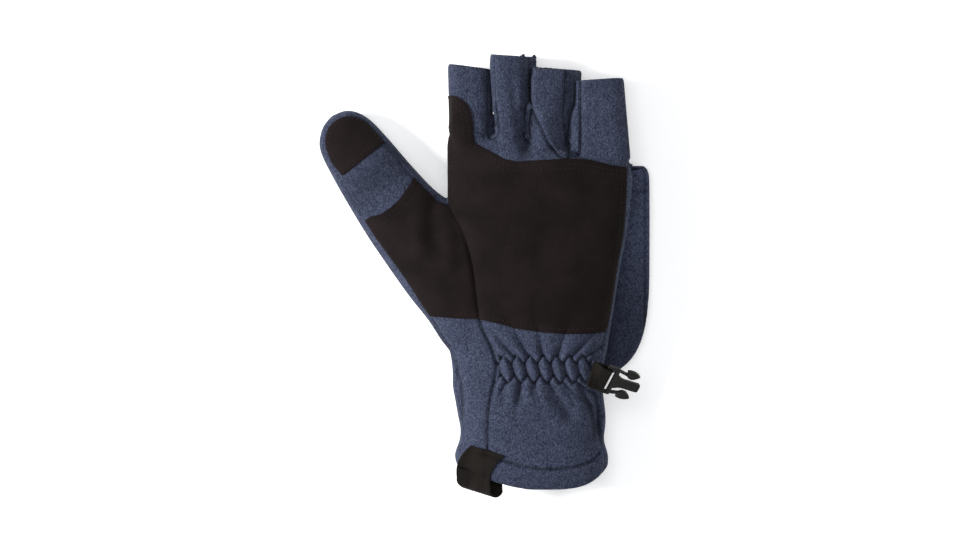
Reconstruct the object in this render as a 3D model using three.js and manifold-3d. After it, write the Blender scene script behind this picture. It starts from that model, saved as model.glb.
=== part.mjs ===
// A left-hand convertible mitten of windproof fleece, lying on its back with the palm up.
// Four open finger stubs and a whole thumb are sewn to a hand with a long gathered cuff, suede
// covers the palm, and a mitten hood is folded back under the hand.
// Millimetres. X runs across the hand to the little finger, Y from the cuff to the fingers, Z up.
import * as THREE from "three";
import { mergeVertices } from "three/addons/utils/BufferGeometryUtils.js";
import Module from "manifold-3d";

const wasm = await Module();
wasm.setup();

// Cloth, webbing and clearances
const fleeceWall = 2.2;
const suedeWall = 1.2;
const webbingThickness = 1.2;
const seamGap = 0.3; // left between two pieces that are sewn or laid together

// Hand, from the hem to the fork of the fingers
const handLength = 200;
const handThickness = 34;
const sideEase = 3.7; // what the knuckles are wider than the four stubs
const knuckleDrop = 15; // how much further back the little finger's fork lies
const hemDip = 10.8; // how far the hem's middle hangs below its sides
const stubGap = 0.6;

// Finger stubs
const stubWidth = 24.5;
const stubThickness = 24;
const stubLength = 60; // from its root inside the hand to its mouth
const stubRoot = 17; // how deep a stub starts inside the hand
const stubDroop = 4.5; // how far a stub's mouth sinks from the knuckles

// Thumb
const thumbLength = 156;
const thumbWidth = 43.8;
const thumbThickness = 30;
const thumbAngle = (37.5 * Math.PI) / 180; // from the hand's own line

// Gathered wrist: two rows of elastic stitching and the folds that fan from them
const gatherPitch = 7.4;
const gatherHeight = 3.4;
const gatherBand = 12.5; // between the two rows
const gatherReach = 26; // the rows run this far each side of the hand's line
const gatherShift = 5.2; // sideways step of a fold from the upper row to the lower
const gatherPinch = 1.9; // half the width of the dent along a row
const gatherFadeAbove = 22;
const gatherFadeBelow = 15;

// Mitten hood, folded back under the hand
const hoodLength = 124;
const hoodWidth = 105;
const hoodThickness = 12;
const hoodSetback = 15.3; // its mouth lies this far behind the fork of the fingers
const hoodAside = 10.8; // it lies this far towards the little finger
const hoodScoop = 5; // the upper layer's edge dips this far below the lower one
const hoodRampBelow = 25; // the back of the hand rises onto the hood from here below its tip
const hoodRampAbove = 15; // and is level from here above its tip

// Loop of webbing at the hem
const pullWidth = 20;
const pullDrop = 24.6; // from the sewn end down to the fold
const pullAngle = (17 * Math.PI) / 180;
const pullFold = 5.6; // height of the fold inside
const pullTuck = 9; // how far it goes back up inside the cuff
const pullSlack = 1.2; // its inner end hangs this far under the cuff's inner face

// Strap and side-release buckle's tongue at the wrist
const strapWidth = 15;
const strapLength = 11.2;
const strapAngle = (-17 * Math.PI) / 180;
const strapTilt = (16 * Math.PI) / 180;
const strapRoll = (34 * Math.PI) / 180; // its far end is turned up by this towards the fingers
const strapSewn = 3; // length of the end that is stitched flat
const buckleBar = 2;
const buckleRail = 1.5;
const buckleThickness = 3;
const buckleSideClearance = 0.3;
const buckleWindow = 2.95; // free length between the strap's bar and the cross bar
const buckleCross = 2.4;
const prongLength = 15.6;
const prongWidth = 5.6;
const barbLength = 7.8;
const barbWidth = 4.8;
const barbSetback = 2.4; // the arms end this far behind the prong
const armWidth = 1.3;
const armInset = 0.6; // an arm's foot lies this far inside the tongue's outer side
const barbInset = 1.8; // and its neck, behind the barb, this far
const railOverhang = 0.6; // the rails reach this far past the strap's bar
const buckleLap = 1; // how far the moulding's members run into each other
const prongShare = 0.8; // thickness of the prong, and of an arm, of buckleThickness
const armShare = 0.85;

// Each stub: width of stubWidth, thickness of stubThickness, length of stubLength, how far its
// mouth slopes across and how far it leans, of stubLength
const stubTable = [
  { name: "index", width: 0.947, thickness: 0.958, length: 0.95, slope: -0.033, lean: 0 },
  { name: "middle", width: 0.955, thickness: 1, length: 1.033, slope: -0.02, lean: 0.004 },
  { name: "ring", width: 1.012, thickness: 1, length: 0.967, slope: -0.027, lean: 0 },
  { name: "little", width: 1.086, thickness: 0.917, length: 1, slope: 0.015, lean: -0.02 },
];
const stubs = stubTable.map((row) => ({
  name: row.name,
  width: row.width * stubWidth,
  thickness: row.thickness * stubThickness,
  length: row.length * stubLength,
  slope: row.slope * stubLength,
  lean: row.lean,
}));

const knuckleWidth =
  stubs.reduce((sum, stub) => sum + stub.width, 0) + stubGap * (stubs.length - 1) + sideEase;
const hoodMouthY = handLength - hoodSetback;
const hoodTipY = hoodMouthY - hoodLength;
const backHeight = hoodThickness + seamGap; // the back of the hand rests on the hood

// Sections of the hand: along as a share of handLength, left and right of knuckleWidth,
// thickness of handThickness, dip of hemDip and fork of knuckleDrop
const handRows = [
  { along: 0.054, left: -0.452, right: 0.376, thickness: 1.09, dip: 1.0, fork: 0 },
  { along: 0.097, left: -0.462, right: 0.376, thickness: 1.15, dip: 0.84, fork: 0 },
  { along: 0.14, left: -0.428, right: 0.36, thickness: 1.18, dip: 0.63, fork: 0 },
  { along: 0.174, left: -0.422, right: 0.368, thickness: 1.18, dip: 0.42, fork: 0 },
  { along: 0.211, left: -0.442, right: 0.376, thickness: 1.15, dip: 0.26, fork: 0 },
  { along: 0.254, left: -0.455, right: 0.368, thickness: 1.09, dip: 0.1, fork: 0 },
  { along: 0.296, left: -0.464, right: 0.36, thickness: 1.0, dip: 0, fork: 0 },
  { along: 0.333, left: -0.466, right: 0.354, thickness: 0.96, dip: 0, fork: 0 },
  { along: 0.373, left: -0.475, right: 0.365, thickness: 0.96, dip: 0, fork: 0 },
  { along: 0.41, left: -0.488, right: 0.379, thickness: 0.97, dip: 0, fork: 0 },
  { along: 0.453, left: -0.494, right: 0.398, thickness: 1.0, dip: 0, fork: 0 },
  { along: 0.504, left: -0.499, right: 0.426, thickness: 1.0, dip: 0, fork: 0 },
  { along: 0.567, left: -0.502, right: 0.45, thickness: 1.0, dip: 0, fork: 0 },
  { along: 0.638, left: -0.505, right: 0.47, thickness: 0.985, dip: 0, fork: 0 },
  { along: 0.71, left: -0.505, right: 0.478, thickness: 0.97, dip: 0, fork: 0.05 },
  { along: 0.789, left: -0.502, right: 0.494, thickness: 0.94, dip: 0, fork: 0.15 },
  { along: 0.866, left: -0.499, right: 0.505, thickness: 0.88, dip: 0, fork: 0.4 },
  { along: 0.938, left: -0.499, right: 0.508, thickness: 0.82, dip: 0, fork: 0.75 },
  { along: 0.98, left: -0.492, right: 0.5, thickness: 0.7, dip: 0, fork: 1 },
  { along: 1.0, left: -0.47, right: 0.478, thickness: 0.5, dip: 0, fork: 1 },
];

// Sections of a stub: along as a share of its length, width and thickness of its own
const stubRows = [
  { along: 0, width: 0.86, thickness: 0.86 },
  { along: 0.3, width: 0.98, thickness: 0.99 },
  { along: 0.55, width: 1.0, thickness: 0.99 },
  { along: 1.0, width: 1.0, thickness: 0.9 },
];

// Sections of the thumb: along as a share of thumbLength, width and aside of thumbWidth,
// thickness and middle of thumbThickness, lift of backHeight
const thumbRows = [
  { along: 0, width: 1.0, aside: -0.09, thickness: 0.86, middle: 0.43, lift: 1.25 },
  { along: 0.096, width: 1.14, aside: -0.035, thickness: 0.93, middle: 0.465, lift: 1.2 },
  { along: 0.192, width: 1.25, aside: 0.045, thickness: 0.98, middle: 0.49, lift: 1.13 },
  { along: 0.288, width: 1.28, aside: 0.052, thickness: 1.0, middle: 0.5, lift: 1.03 },
  { along: 0.378, width: 1.23, aside: 0.035, thickness: 0.98, middle: 0.49, lift: 0.88 },
  { along: 0.468, width: 1.17, aside: 0.02, thickness: 0.95, middle: 0.475, lift: 0.72 },
  { along: 0.551, width: 1.07, aside: -0.014, thickness: 0.9, middle: 0.45, lift: 0.57 },
  { along: 0.641, width: 1.0, aside: -0.018, thickness: 0.85, middle: 0.425, lift: 0.4 },
  { along: 0.724, width: 0.945, aside: -0.011, thickness: 0.8, middle: 0.4, lift: 0.25 },
  { along: 0.808, width: 0.886, aside: 0.002, thickness: 0.75, middle: 0.375, lift: 0.12 },
  { along: 0.897, width: 0.795, aside: 0.014, thickness: 0.65, middle: 0.345, lift: 0.05 },
  { along: 0.942, width: 0.676, aside: 0.018, thickness: 0.54, middle: 0.345, lift: 0.05 },
  { along: 0.974, width: 0.48, aside: 0.032, thickness: 0.38, middle: 0.345, lift: 0.05 },
  { along: 0.994, width: 0.23, aside: 0.032, thickness: 0.18, middle: 0.345, lift: 0.05 },
];

// Sections of the hood: along as a share of hoodLength from the tip, width and thickness of its own
const hoodRows = [
  { along: 0.004, width: 0.3, thickness: 0.2 },
  { along: 0.03, width: 0.58, thickness: 0.5 },
  { along: 0.08, width: 0.75, thickness: 0.74 },
  { along: 0.15, width: 0.87, thickness: 0.91 },
  { along: 0.25, width: 0.95, thickness: 0.98 },
  { along: 0.4, width: 0.992, thickness: 1 },
  { along: 0.6, width: 1, thickness: 1 },
  { along: 0.85, width: 0.995, thickness: 1 },
  { along: 0.95, width: 0.985, thickness: 1 },
  { along: 1, width: 0.95, thickness: 0.96 },
];

// Seam between thumb and palm, from the thumb's fork to the hem, as shares of
// knuckleWidth and handLength
const thumbSeam = [
  { across: -0.56, along: 0.9 },
  { across: -0.503, along: 0.83 },
  { across: -0.468, along: 0.783 },
  { across: -0.424, along: 0.74 },
  { across: -0.392, along: 0.688 },
  { across: -0.367, along: 0.626 },
  { across: -0.348, along: 0.557 },
  { across: -0.323, along: 0.485 },
  { across: -0.3, along: 0.39 },
  { across: -0.28, along: 0.3 },
  { across: -0.279, along: 0.1 },
  { across: -0.279, along: -0.1 },
];

// Free edges of the palm's suede, from the index finger round to the thumb's seam
const palmPatchEdge = [
  { across: -0.6, along: 1.12 },
  { across: -0.47, along: 1.12 },
  { across: -0.417, along: 1.109 },
  { across: -0.379, along: 1.083 },
  { across: -0.358, along: 1.046 },
  { across: -0.352, along: 1.003 },
  { across: -0.332, along: 0.983 },
  { across: -0.254, along: 0.958 },
  { across: -0.175, along: 0.937 },
  { across: -0.092, along: 0.93 },
  { across: 0.053, along: 0.935 },
  { across: 0.182, along: 0.937 },
  { across: 0.296, along: 0.929 },
  { across: 0.492, along: 0.912 },
  { across: 0.481, along: 0.827 },
  { across: 0.469, along: 0.744 },
  { across: 0.456, along: 0.68 },
  { across: 0.437, along: 0.577 },
  { across: 0.409, along: 0.514 },
  { across: 0.368, along: 0.451 },
  { across: 0.215, along: 0.447 },
  { across: 0.078, along: 0.451 },
  { across: -0.142, along: 0.468 },
  { across: -0.323, along: 0.485 },
];

// Free edges of the thumb's suede, as shares of thumbWidth and thumbLength
const thumbPatchEdge = [
  { across: -0.533, along: 0.201 },
  { across: -0.544, along: 0.294 },
  { across: -0.53, along: 0.387 },
  { across: -0.5, along: 0.493 },
  { across: -0.43, along: 0.583 },
  { across: -0.398, along: 0.622 },
  { across: -0.216, along: 0.602 },
  { across: 0.03, along: 0.6 },
  { across: 0.25, along: 0.612 },
  { across: 0.5, along: 0.632 },
  { across: 0.9, along: 0.6 },
];

const tipPatchEdge = [
  { across: -0.314, along: 0.8 },
  { across: -0.305, along: 0.871 },
  { across: -0.228, along: 0.93 },
  { across: -0.093, along: 0.965 },
  { across: 0.065, along: 0.974 },
  { across: 0.235, along: 0.959 },
  { across: 0.326, along: 0.929 },
  { across: 0.375, along: 0.88 },
  { across: 0.407, along: 0.803 },
];

// How full a section is over the palm and under the back, and where it is widest
const handForm = { over: 20, below: 6, overPower: 2.3, belowPower: 3, widest: 0.45, flat: 1.5 };
const stubForm = { over: 8, below: 6, overPower: 2.3, belowPower: 2.3, widest: 0.5, flat: 0 };
const thumbForm = { over: 10, below: 6, overPower: 2.2, belowPower: 2.4, widest: 0.48, flat: 1 };
const hoodForm = { over: 12, below: 8, overPower: 3, belowPower: 3, widest: 0.5, flat: 0.8 };

const reach = 400; // larger than the whole mitten: size of the cutting blocks
const overrun = 6; // how far a hollow runs past the mouth that it opens

const smooth = (from, to, value) => {
  const share = Math.min(1, Math.max(0, (value - from) / (to - from)));
  return share * share * (3 - 2 * share);
};
const fullness = (share, power) =>
  Math.pow(Math.max(0, 1 - Math.pow(Math.abs(share), power)), 1 / power);

// A row between two rows of a table, on a smooth curve through its columns
function rowAt(rows, along) {
  let i = 0;
  while (i < rows.length - 2 && rows[i + 1].along < along) i++;
  const [before, from, to, after] = [i - 1, i, i + 1, i + 2].map(
    (k) => rows[Math.min(rows.length - 1, Math.max(0, k))],
  );
  const span = to.along - from.along;
  const t = (along - from.along) / span;
  const slope = (a, b, column) => ((b[column] - a[column]) / (b.along - a.along)) * span;
  const row = {};
  for (const column of Object.keys(from)) {
    const start = slope(before, to, column);
    const end = slope(from, after, column);
    row[column] =
      from[column] * (1 - 3 * t * t + 2 * t * t * t) +
      to[column] * (3 * t * t - 2 * t * t * t) +
      start * (t - 2 * t * t + t * t * t) +
      end * (t * t * t - t * t);
  }
  return row;
}

// Points round a section, first over the palm from left to right, then back under it
function section({ centre, half, under, thickness }, form, fineness = 1) {
  const widest = under + thickness * form.widest;
  const points = [];
  const over = form.over * fineness;
  const below = form.below * Math.max(1, fineness);
  for (let i = 0; i < over; i++) {
    const v = (2 * i) / over - 1;
    const share = 0.6 * v + 0.4 * Math.sin((v * Math.PI) / 2);
    const rise = under + thickness - widest;
    points.push([centre + half * share, widest + rise * fullness(share, form.overPower)]);
  }
  for (let i = 0; i < below; i++) {
    const share = Math.cos((i * Math.PI) / below);
    const fall = widest - under + form.flat;
    const height = widest - fall * fullness(share, form.belowPower);
    points.push([centre + half * share, Math.max(under, height)]);
  }
  return points;
}

// The section moved outwards by a distance, or inwards where it is negative
function offset(points, distance) {
  return points.map(([x, z], i) => {
    const [xa, za] = points[(i + points.length - 1) % points.length];
    const [xb, zb] = points[(i + 1) % points.length];
    const run = Math.hypot(xb - xa, zb - za);
    return [x - ((zb - za) / run) * distance, z + ((xb - xa) / run) * distance];
  });
}

// A closed solid of corner points and triangles, turned to face outwards
function solidOf(points, triangles) {
  let volume = 0;
  for (const [a, b, c] of triangles) {
    const [p, q, r] = [a, b, c].map((k) => new THREE.Vector3(...points[k]));
    volume += p.dot(q.cross(r));
  }
  const turned = volume < 0 ? triangles.map(([a, b, c]) => [a, c, b]) : triangles;
  return new wasm.Manifold(
    new wasm.Mesh({
      numProp: 3,
      vertProperties: new Float32Array(points.flat()),
      triVerts: new Uint32Array(turned.flat()),
    }),
  );
}

// A solid through rings of points; a ring may have half the points of the one before it
function loft(rings) {
  const points = rings.flat();
  const triangles = [];
  let start = 0;
  for (let r = 0; r + 1 < rings.length; r++) {
    const [near, far] = [rings[r].length, rings[r + 1].length];
    const a = (i) => start + (i % near);
    const b = (i) => start + near + (i % far);
    for (let i = 0; i < far; i++) {
      if (near === far) triangles.push([a(i), a(i + 1), b(i + 1)], [a(i), b(i + 1), b(i)]);
      else
        triangles.push(
          [a(2 * i), a(2 * i + 1), b(i)],
          [a(2 * i + 1), b(i + 1), b(i)],
          [a(2 * i + 1), a(2 * i + 2), b(i + 1)],
        );
    }
    start += near;
  }
  const cap = (first, count, turn) => {
    const middle = [0, 1, 2].map(
      (k) => points.slice(first, first + count).reduce((sum, p) => sum + p[k], 0) / count,
    );
    points.push(middle);
    for (let i = 0; i < count; i++) {
      const [p, q] = [first + i, first + ((i + 1) % count)];
      triangles.push(turn ? [p, points.length - 1, q] : [p, q, points.length - 1]);
    }
  };
  cap(0, rings[0].length, true);
  cap(start, rings[rings.length - 1].length, false);
  return solidOf(points, triangles);
}

// The cut pieces of a panel can leave crumbs along a seam: the panel is the largest body
const largest = (solid) =>
  solid.decompose().reduce((best, body) => (body.volume() > best.volume() ? body : best));

const join = (solids) => solids.reduce((whole, solid) => whole.add(solid));

// A three.js geometry as a solid, moved to its place
function solidOfGeometry(geometry, matrix = new THREE.Matrix4()) {
  const bare = new THREE.BufferGeometry();
  bare.setAttribute("position", geometry.getAttribute("position").clone());
  if (geometry.index) bare.setIndex(geometry.index);
  const merged = mergeVertices(bare.applyMatrix4(matrix), 1e-4);
  return new wasm.Manifold(
    new wasm.Mesh({
      numProp: 3,
      vertProperties: merged.attributes.position.array,
      triVerts: new Uint32Array(merged.index.array),
    }),
  );
}

function block(x0, x1, y0, y1, z0, z1, matrix) {
  const geometry = new THREE.BoxGeometry(x1 - x0, y1 - y0, z1 - z0);
  geometry.translate((x0 + x1) / 2, (y0 + y1) / 2, (z0 + z1) / 2);
  return solidOfGeometry(geometry, matrix);
}

// An upright block with an outline in plan
function prism(outline) {
  const geometry = new THREE.ExtrudeGeometry(new THREE.Shape(outline), {
    depth: reach,
    bevelEnabled: false,
    curveSegments: 1,
  });
  return solidOfGeometry(geometry);
}

// Where the hand's underside lies: on the floor at the cuff, on the hood under the hand
const restHeight = (y) => 
  backHeight * smooth(hoodTipY - hoodRampBelow, hoodTipY + hoodRampAbove, y);

// Height that the gathers add to the palm side of the wrist
const lowerRow = 0.3025 * handLength;
const upperRow = lowerRow + gatherBand;
function gather(x, y) {
  const above = Math.max(0, y - upperRow);
  const below = Math.max(0, lowerRow - y);
  const between = Math.min(gatherBand, Math.max(0, upperRow - y));
  const lean = 0.25 * below * smooth(-4, 20, x);
  const fan = 1 + 0.03 * above + 0.022 * below;
  const slid = x - (gatherShift * between) / gatherBand - lean;
  const fold = Math.pow(Math.abs(Math.sin((Math.PI * slid) / (gatherPitch * fan))), 0.7);
  const pinch = (row) => 1 - 0.72 * Math.exp(-Math.pow((y - row) / gatherPinch, 2));
  const fade = Math.exp(-above / gatherFadeAbove - below / gatherFadeBelow);
  const side = 1 - smooth(gatherReach - 5, gatherReach + 3 + 0.3 * below, Math.abs(slid));
  return side * fade * gatherHeight * (fold * pinch(upperRow) * pinch(lowerRow) - 0.3);
}

// One ring of the hand; past the hem it keeps the hem's section
function handRing(along, distance, fineness) {
  const row = rowAt(handRows, Math.min(1, Math.max(handRows[0].along, along)));
  const sideY = along * handLength;
  const centre = ((row.left + row.right) / 2) * knuckleWidth;
  const half = ((row.right - row.left) / 2) * knuckleWidth;
  const under = restHeight(sideY);
  const drawn = section(
    { centre, half, under, thickness: row.thickness * handThickness },
    handForm,
    fineness,
  );
  const gathered = fineness > 1 && distance > -fleeceWall;
  return offset(drawn, distance).map(([x, z], i) => {
    const u = Math.min(1, Math.max(-1, (x - centre) / half));
    const y =
      sideY - row.dip * hemDip * (1 - u * u) - row.fork * knuckleDrop * (0.6 * u + 0.4 * u * u);
    const folded = gathered && i < handForm.over * fineness ? gather(x, y) : 0;
    return [x, y, z + folded];
  });
}

// The height of the hand's palm side at a place in plan, grown by a distance
function palmHeight(x, y, grown = 0) {
  let sideY = y;
  let row;
  let u;
  for (let pass = 0; pass < 8; pass++) {
    row = rowAt(handRows, Math.max(handRows[0].along, sideY / handLength));
    const centre = ((row.left + row.right) / 2) * knuckleWidth;
    const half = ((row.right - row.left) / 2) * knuckleWidth + grown;
    u = Math.min(1, Math.max(-1, (x - centre) / half));
    sideY = y + row.dip * hemDip * (1 - u * u);
  }
  const thickness = row.thickness * handThickness;
  const rise = thickness * (1 - handForm.widest);
  return restHeight(sideY) + thickness - rise + (rise + grown) * fullness(u, handForm.overPower);
}

const steps = (from, to, count) =>
  Array.from({ length: count }, (_, i) => from + ((to - from) * i) / (count - 1));

// The hand's form, grown by a distance; a hollow is open at the hem and stops at the knuckles
function handForm3d(distance, hollow = false) {
  const hem = handRows[0].along;
  if (hollow) {
    const alongs = [hem - overrun / handLength, ...steps(hem, 0.98 - fleeceWall / handLength, 10)];
    return loft(alongs.map((along) => handRing(along, distance, 0.5)));
  }
  const row = [lowerRow / handLength, upperRow / handLength];
  const apart = row[1] - row[0];
  const gathers = [-0.85, -0.35, 0, 0.3, 0.7, 1, 1.4, 2.2];
  const cuff = [...steps(hem, 0.21, 3), ...gathers.map((share) => row[0] + share * apart)];
  const palm = [0.54, 0.63, 0.72, 0.8, 0.87, 0.93, 0.965, 1];
  return loft([
    ...cuff.map((along) => handRing(along, distance, 2)),
    ...palm.map((along) => handRing(along, distance, 1)),
  ]);
}

const stubCentre = (index) =>
  -knuckleWidth / 2 +
  sideEase * 0.2 +
  stubs.slice(0, index).reduce((sum, stub) => sum + stub.width + stubGap, 0) +
  stubs[index].width / 2;

// Where the fork of the fingers lies at a place across the hand
function forkY(x) {
  const u = x / (knuckleWidth / 2);
  return 0.995 * handLength - knuckleDrop * (0.6 * u + 0.4 * u * u);
}

function stubForm3d(index, distance, hollow = false) {
  const stub = stubs[index];
  const rootY = forkY(stubCentre(index)) - stubRoot;
  const alongs = hollow
    ? [-0.04, 0.3, 0.55, 1, 1 + overrun / stub.length]
    : [0, 0.3, 0.55, 1];
  return loft(
    alongs.map((along) => {
      const row = rowAt(stubRows, Math.min(1, Math.max(0, along)));
      const centre = stubCentre(index) + stub.lean * along * stub.length;
      const half = (row.width * stub.width) / 2;
      const thickness = row.thickness * stub.thickness;
      const under = backHeight + 0.6 - stubDroop * smooth(0.25, 1.1, along);
      const drawn = section({ centre, half, under, thickness }, stubForm);
      return offset(drawn, distance).map(([x, z]) => [
        x,
        rootY + along * stub.length + (stub.slope * along * (x - centre)) / half,
        z,
      ]);
    }),
  );
}

// The thumb's own line: a place in plan from across and along its axis
const thumbRoot = { across: -0.228, along: 0.441 };
function thumbPlace(across, along) {
  const [cos, sin] = [Math.cos(thumbAngle), Math.sin(thumbAngle)];
  return [
    thumbRoot.across * knuckleWidth + across * cos - along * sin,
    thumbRoot.along * handLength + across * sin + along * cos,
  ];
}

function thumbForm3d(distance, hollow = false) {
  const rows = hollow ? thumbRows.slice(1, -1) : thumbRows;
  return loft(
    rows.map((row) => {
      const thickness = row.thickness * thumbThickness;
      const middle = row.middle * thumbThickness + row.lift * backHeight;
      const drawn = section(
        {
          centre: row.aside * thumbWidth,
          half: (row.width * thumbWidth) / 2,
          under: middle - thickness / 2,
          thickness,
        },
        thumbForm,
      );
      return offset(drawn, distance).map(([across, z]) => [
        ...thumbPlace(across, row.along * thumbLength),
        z,
      ]);
    }),
  );
}

// The whole glove, grown by a distance and pressed flat on the floor
function gloveForm(distance, hollow = false) {
  const whole = join([
    handForm3d(distance, hollow),
    thumbForm3d(distance, hollow),
    ...stubs.map((_, index) => stubForm3d(index, distance, hollow)),
  ]);
  const floor = hollow ? fleeceWall : 0;
  return whole.intersect(block(-reach, reach, -reach, reach, floor, reach));
}

// Height of the seam between palm and back: near the edge of the hand, higher on the thumb
const seamShare = { hand: 0.3, thumb: 0.6 };
const stubMiddle = backHeight + 0.46 * Math.min(...stubs.map((stub) => stub.thickness));
function seamHeight(x, y) {
  const row = rowAt(handRows, Math.min(1, Math.max(handRows[0].along, y / handLength)));
  const handMiddle = restHeight(y) + (row.thickness * handThickness) / 2;
  const side = handMiddle + (seamShare.hand * row.thickness * handThickness) / 2;
  const hand = side + (stubMiddle - side) * smooth(0.76, 0.86, y / handLength);
  const [rootX, rootY] = thumbPlace(0, 0);
  const along =
    (-(x - rootX) * Math.sin(thumbAngle) + (y - rootY) * Math.cos(thumbAngle)) / thumbLength;
  const thumbRow = rowAt(thumbRows, Math.min(0.897, Math.max(0, along)));
  const thumb =
    thumbRow.middle * thumbThickness +
    thumbRow.lift * backHeight +
    (seamShare.thumb * thumbRow.thickness * thumbThickness) / 2;
  const edge = -knuckleWidth / 2;
  return hand + (thumb - hand) * smooth(-edge * 0.55, -edge * 1.25, -x) * smooth(0.1, 0.4, along);
}

// All that lies above the seam, raised by a distance
function aboveSeam(distance) {
  const xs = steps(-1.4 * knuckleWidth, knuckleWidth, 10);
  const ys = steps(-0.2 * handLength, 1.5 * handLength, 18);
  const points = [];
  for (const top of [false, true])
    for (const y of ys)
      for (const x of xs) points.push([x, y, top ? reach : seamHeight(x, y) + distance]);
  const at = (i, j, top) => (top ? xs.length * ys.length : 0) + j * xs.length + i;
  const triangles = [];
  const quad = (a, b, c, d) => triangles.push([a, b, c], [a, c, d]);
  for (let j = 0; j + 1 < ys.length; j++)
    for (let i = 0; i + 1 < xs.length; i++) {
      quad(at(i, j, 0), at(i, j + 1, 0), at(i + 1, j + 1, 0), at(i + 1, j, 0));
      quad(at(i, j, 1), at(i + 1, j, 1), at(i + 1, j + 1, 1), at(i, j + 1, 1));
    }
  for (let i = 0; i + 1 < xs.length; i++) {
    const last = ys.length - 1;
    quad(at(i, 0, 0), at(i + 1, 0, 0), at(i + 1, 0, 1), at(i, 0, 1));
    quad(at(i + 1, last, 0), at(i, last, 0), at(i, last, 1), at(i + 1, last, 1));
  }
  for (let j = 0; j + 1 < ys.length; j++) {
    const last = xs.length - 1;
    quad(at(0, j + 1, 0), at(0, j, 0), at(0, j, 1), at(0, j + 1, 1));
    quad(at(last, j, 0), at(last, j + 1, 0), at(last, j + 1, 1), at(last, j, 1));
  }
  return solidOf(points, triangles);
}

// Smooth lines in plan through a table's points
const handLine = (table, count) =>
  new THREE.SplineCurve(
    table.map((p) => new THREE.Vector2(p.across * knuckleWidth, p.along * handLength)),
  ).getPoints(count);
const thumbLine = (table, count) =>
  new THREE.SplineCurve(
    table.map(
      (p) => new THREE.Vector2(...thumbPlace(p.across * thumbWidth, p.along * thumbLength)),
    ),
  ).getPoints(count);

// All that lies on the palm's side of the thumb seam, moved towards the palm by a distance
function palmSide(distance) {
  const line = handLine(thumbSeam, 16).map((p) => new THREE.Vector2(p.x + distance, p.y));
  return prism([
    new THREE.Vector2(line[0].x, reach),
    ...line,
    new THREE.Vector2(line.at(-1).x, -reach),
    new THREE.Vector2(reach, -reach),
    new THREE.Vector2(reach, reach),
  ]);
}

const gloveOuter = gloveForm(0);
const gloveShell = gloveOuter.subtract(gloveForm(-fleeceWall, true));
const overSeam = aboveSeam(seamGap / 2);
const overSeamGrown = aboveSeam(-seamGap / 2);
const palmRegion = palmSide(seamGap / 2);
const palmRegionGrown = palmSide(-seamGap / 2);

// A gusset between two stubs, grown by a distance: the sides that face each other and their fork
const gussetHeight = 12;
const gussetFoot = 5; // how far it reaches back past the fork
function gussetRegion(index, distance) {
  const left = stubCentre(index) + seamGap / 2;
  const right = stubCentre(index + 1) - seamGap / 2;
  const fork = forkY((left + right) / 2);
  return block(
    left - distance,
    right + distance,
    fork - gussetFoot - distance,
    reach,
    stubMiddle - gussetHeight / 2 - distance,
    stubMiddle + gussetHeight / 2 + distance,
  );
}
const gussetIndexes = [0, 1, 2];
const gussets = gussetIndexes.map((index) =>
  gloveShell.intersect(gussetRegion(index, 0)),
);
const panels = gloveShell.subtract(
  join(gussetIndexes.map((index) => gussetRegion(index, seamGap))),
);

const front = panels.intersect(overSeam);
const backPanel = largest(panels.subtract(overSeamGrown));
const palmPanel = largest(front.intersect(palmRegion));
const thumbPanel = largest(front.subtract(palmRegionGrown));

// Suede laid on the fleece
const suedeLayer = gloveForm(seamGap + suedeWall).subtract(gloveForm(seamGap));
const suedeOverSeam = suedeLayer.intersect(aboveSeam(seamGap));
const patchGap = 0.4; // between the two suedes along the thumb's seam
const patchFoot = palmPatchEdge.at(-1).along * handLength;
const palmPatchOutline = prism([
  ...handLine(palmPatchEdge, 30),
  new THREE.Vector2(-0.62 * knuckleWidth, patchFoot),
]);
const palmPatch = largest(
  suedeOverSeam.intersect(palmPatchOutline).intersect(palmSide(patchGap / 2)),
);
const thumbPatchOutline = prism([
  ...thumbLine(thumbPatchEdge, 18),
  new THREE.Vector2(0, handLength),
  new THREE.Vector2(0, patchFoot),
  new THREE.Vector2(-0.48 * knuckleWidth, patchFoot),
]);
const thumbPatch = largest(
  suedeOverSeam.intersect(thumbPatchOutline).subtract(palmSide(-patchGap / 2)),
);
const tipPatch = largest(suedeOverSeam.intersect(prism(thumbLine(tipPatchEdge, 16))));

// Mitten hood, a flat pouch with its mouth towards the fingers
function hoodForm3d(distance, hollow = false) {
  const rows = hollow
    ? [...hoodRows.slice(1), { ...hoodRows.at(-1), along: 1 + (overrun + hoodScoop) / hoodLength }]
    : hoodRows;
  return loft(
    rows.map((row) => {
      const thickness = row.thickness * hoodThickness;
      const drawn = section(
        {
          centre: hoodAside,
          half: (row.width * hoodWidth) / 2,
          under: (hoodThickness - thickness) * 0.35,
          thickness,
        },
        hoodForm,
      );
      return offset(drawn, distance).map(([x, z]) => {
        const u = Math.min(1, Math.abs((x - hoodAside) / (hoodWidth / 2)));
        const upper = z > hoodThickness / 2 ? 1 : 0;
        const scoop = hoodScoop * upper * smooth(0.8, 1, row.along) * (1 - Math.pow(u, 6));
        return [x, hoodTipY + row.along * hoodLength - (hollow ? 0 : scoop), z];
      });
    }),
  );
}
const hood = hoodForm3d(0).subtract(hoodForm3d(-fleeceWall, true));
const hoodSeam = hoodThickness / 2;
const hoodUpper = hood.intersect(
  block(-reach, reach, -reach, reach, hoodSeam + seamGap / 2, reach),
);
const hoodLower = hood.intersect(
  block(-reach, reach, -reach, reach, -reach, hoodSeam - seamGap / 2),
);

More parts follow.
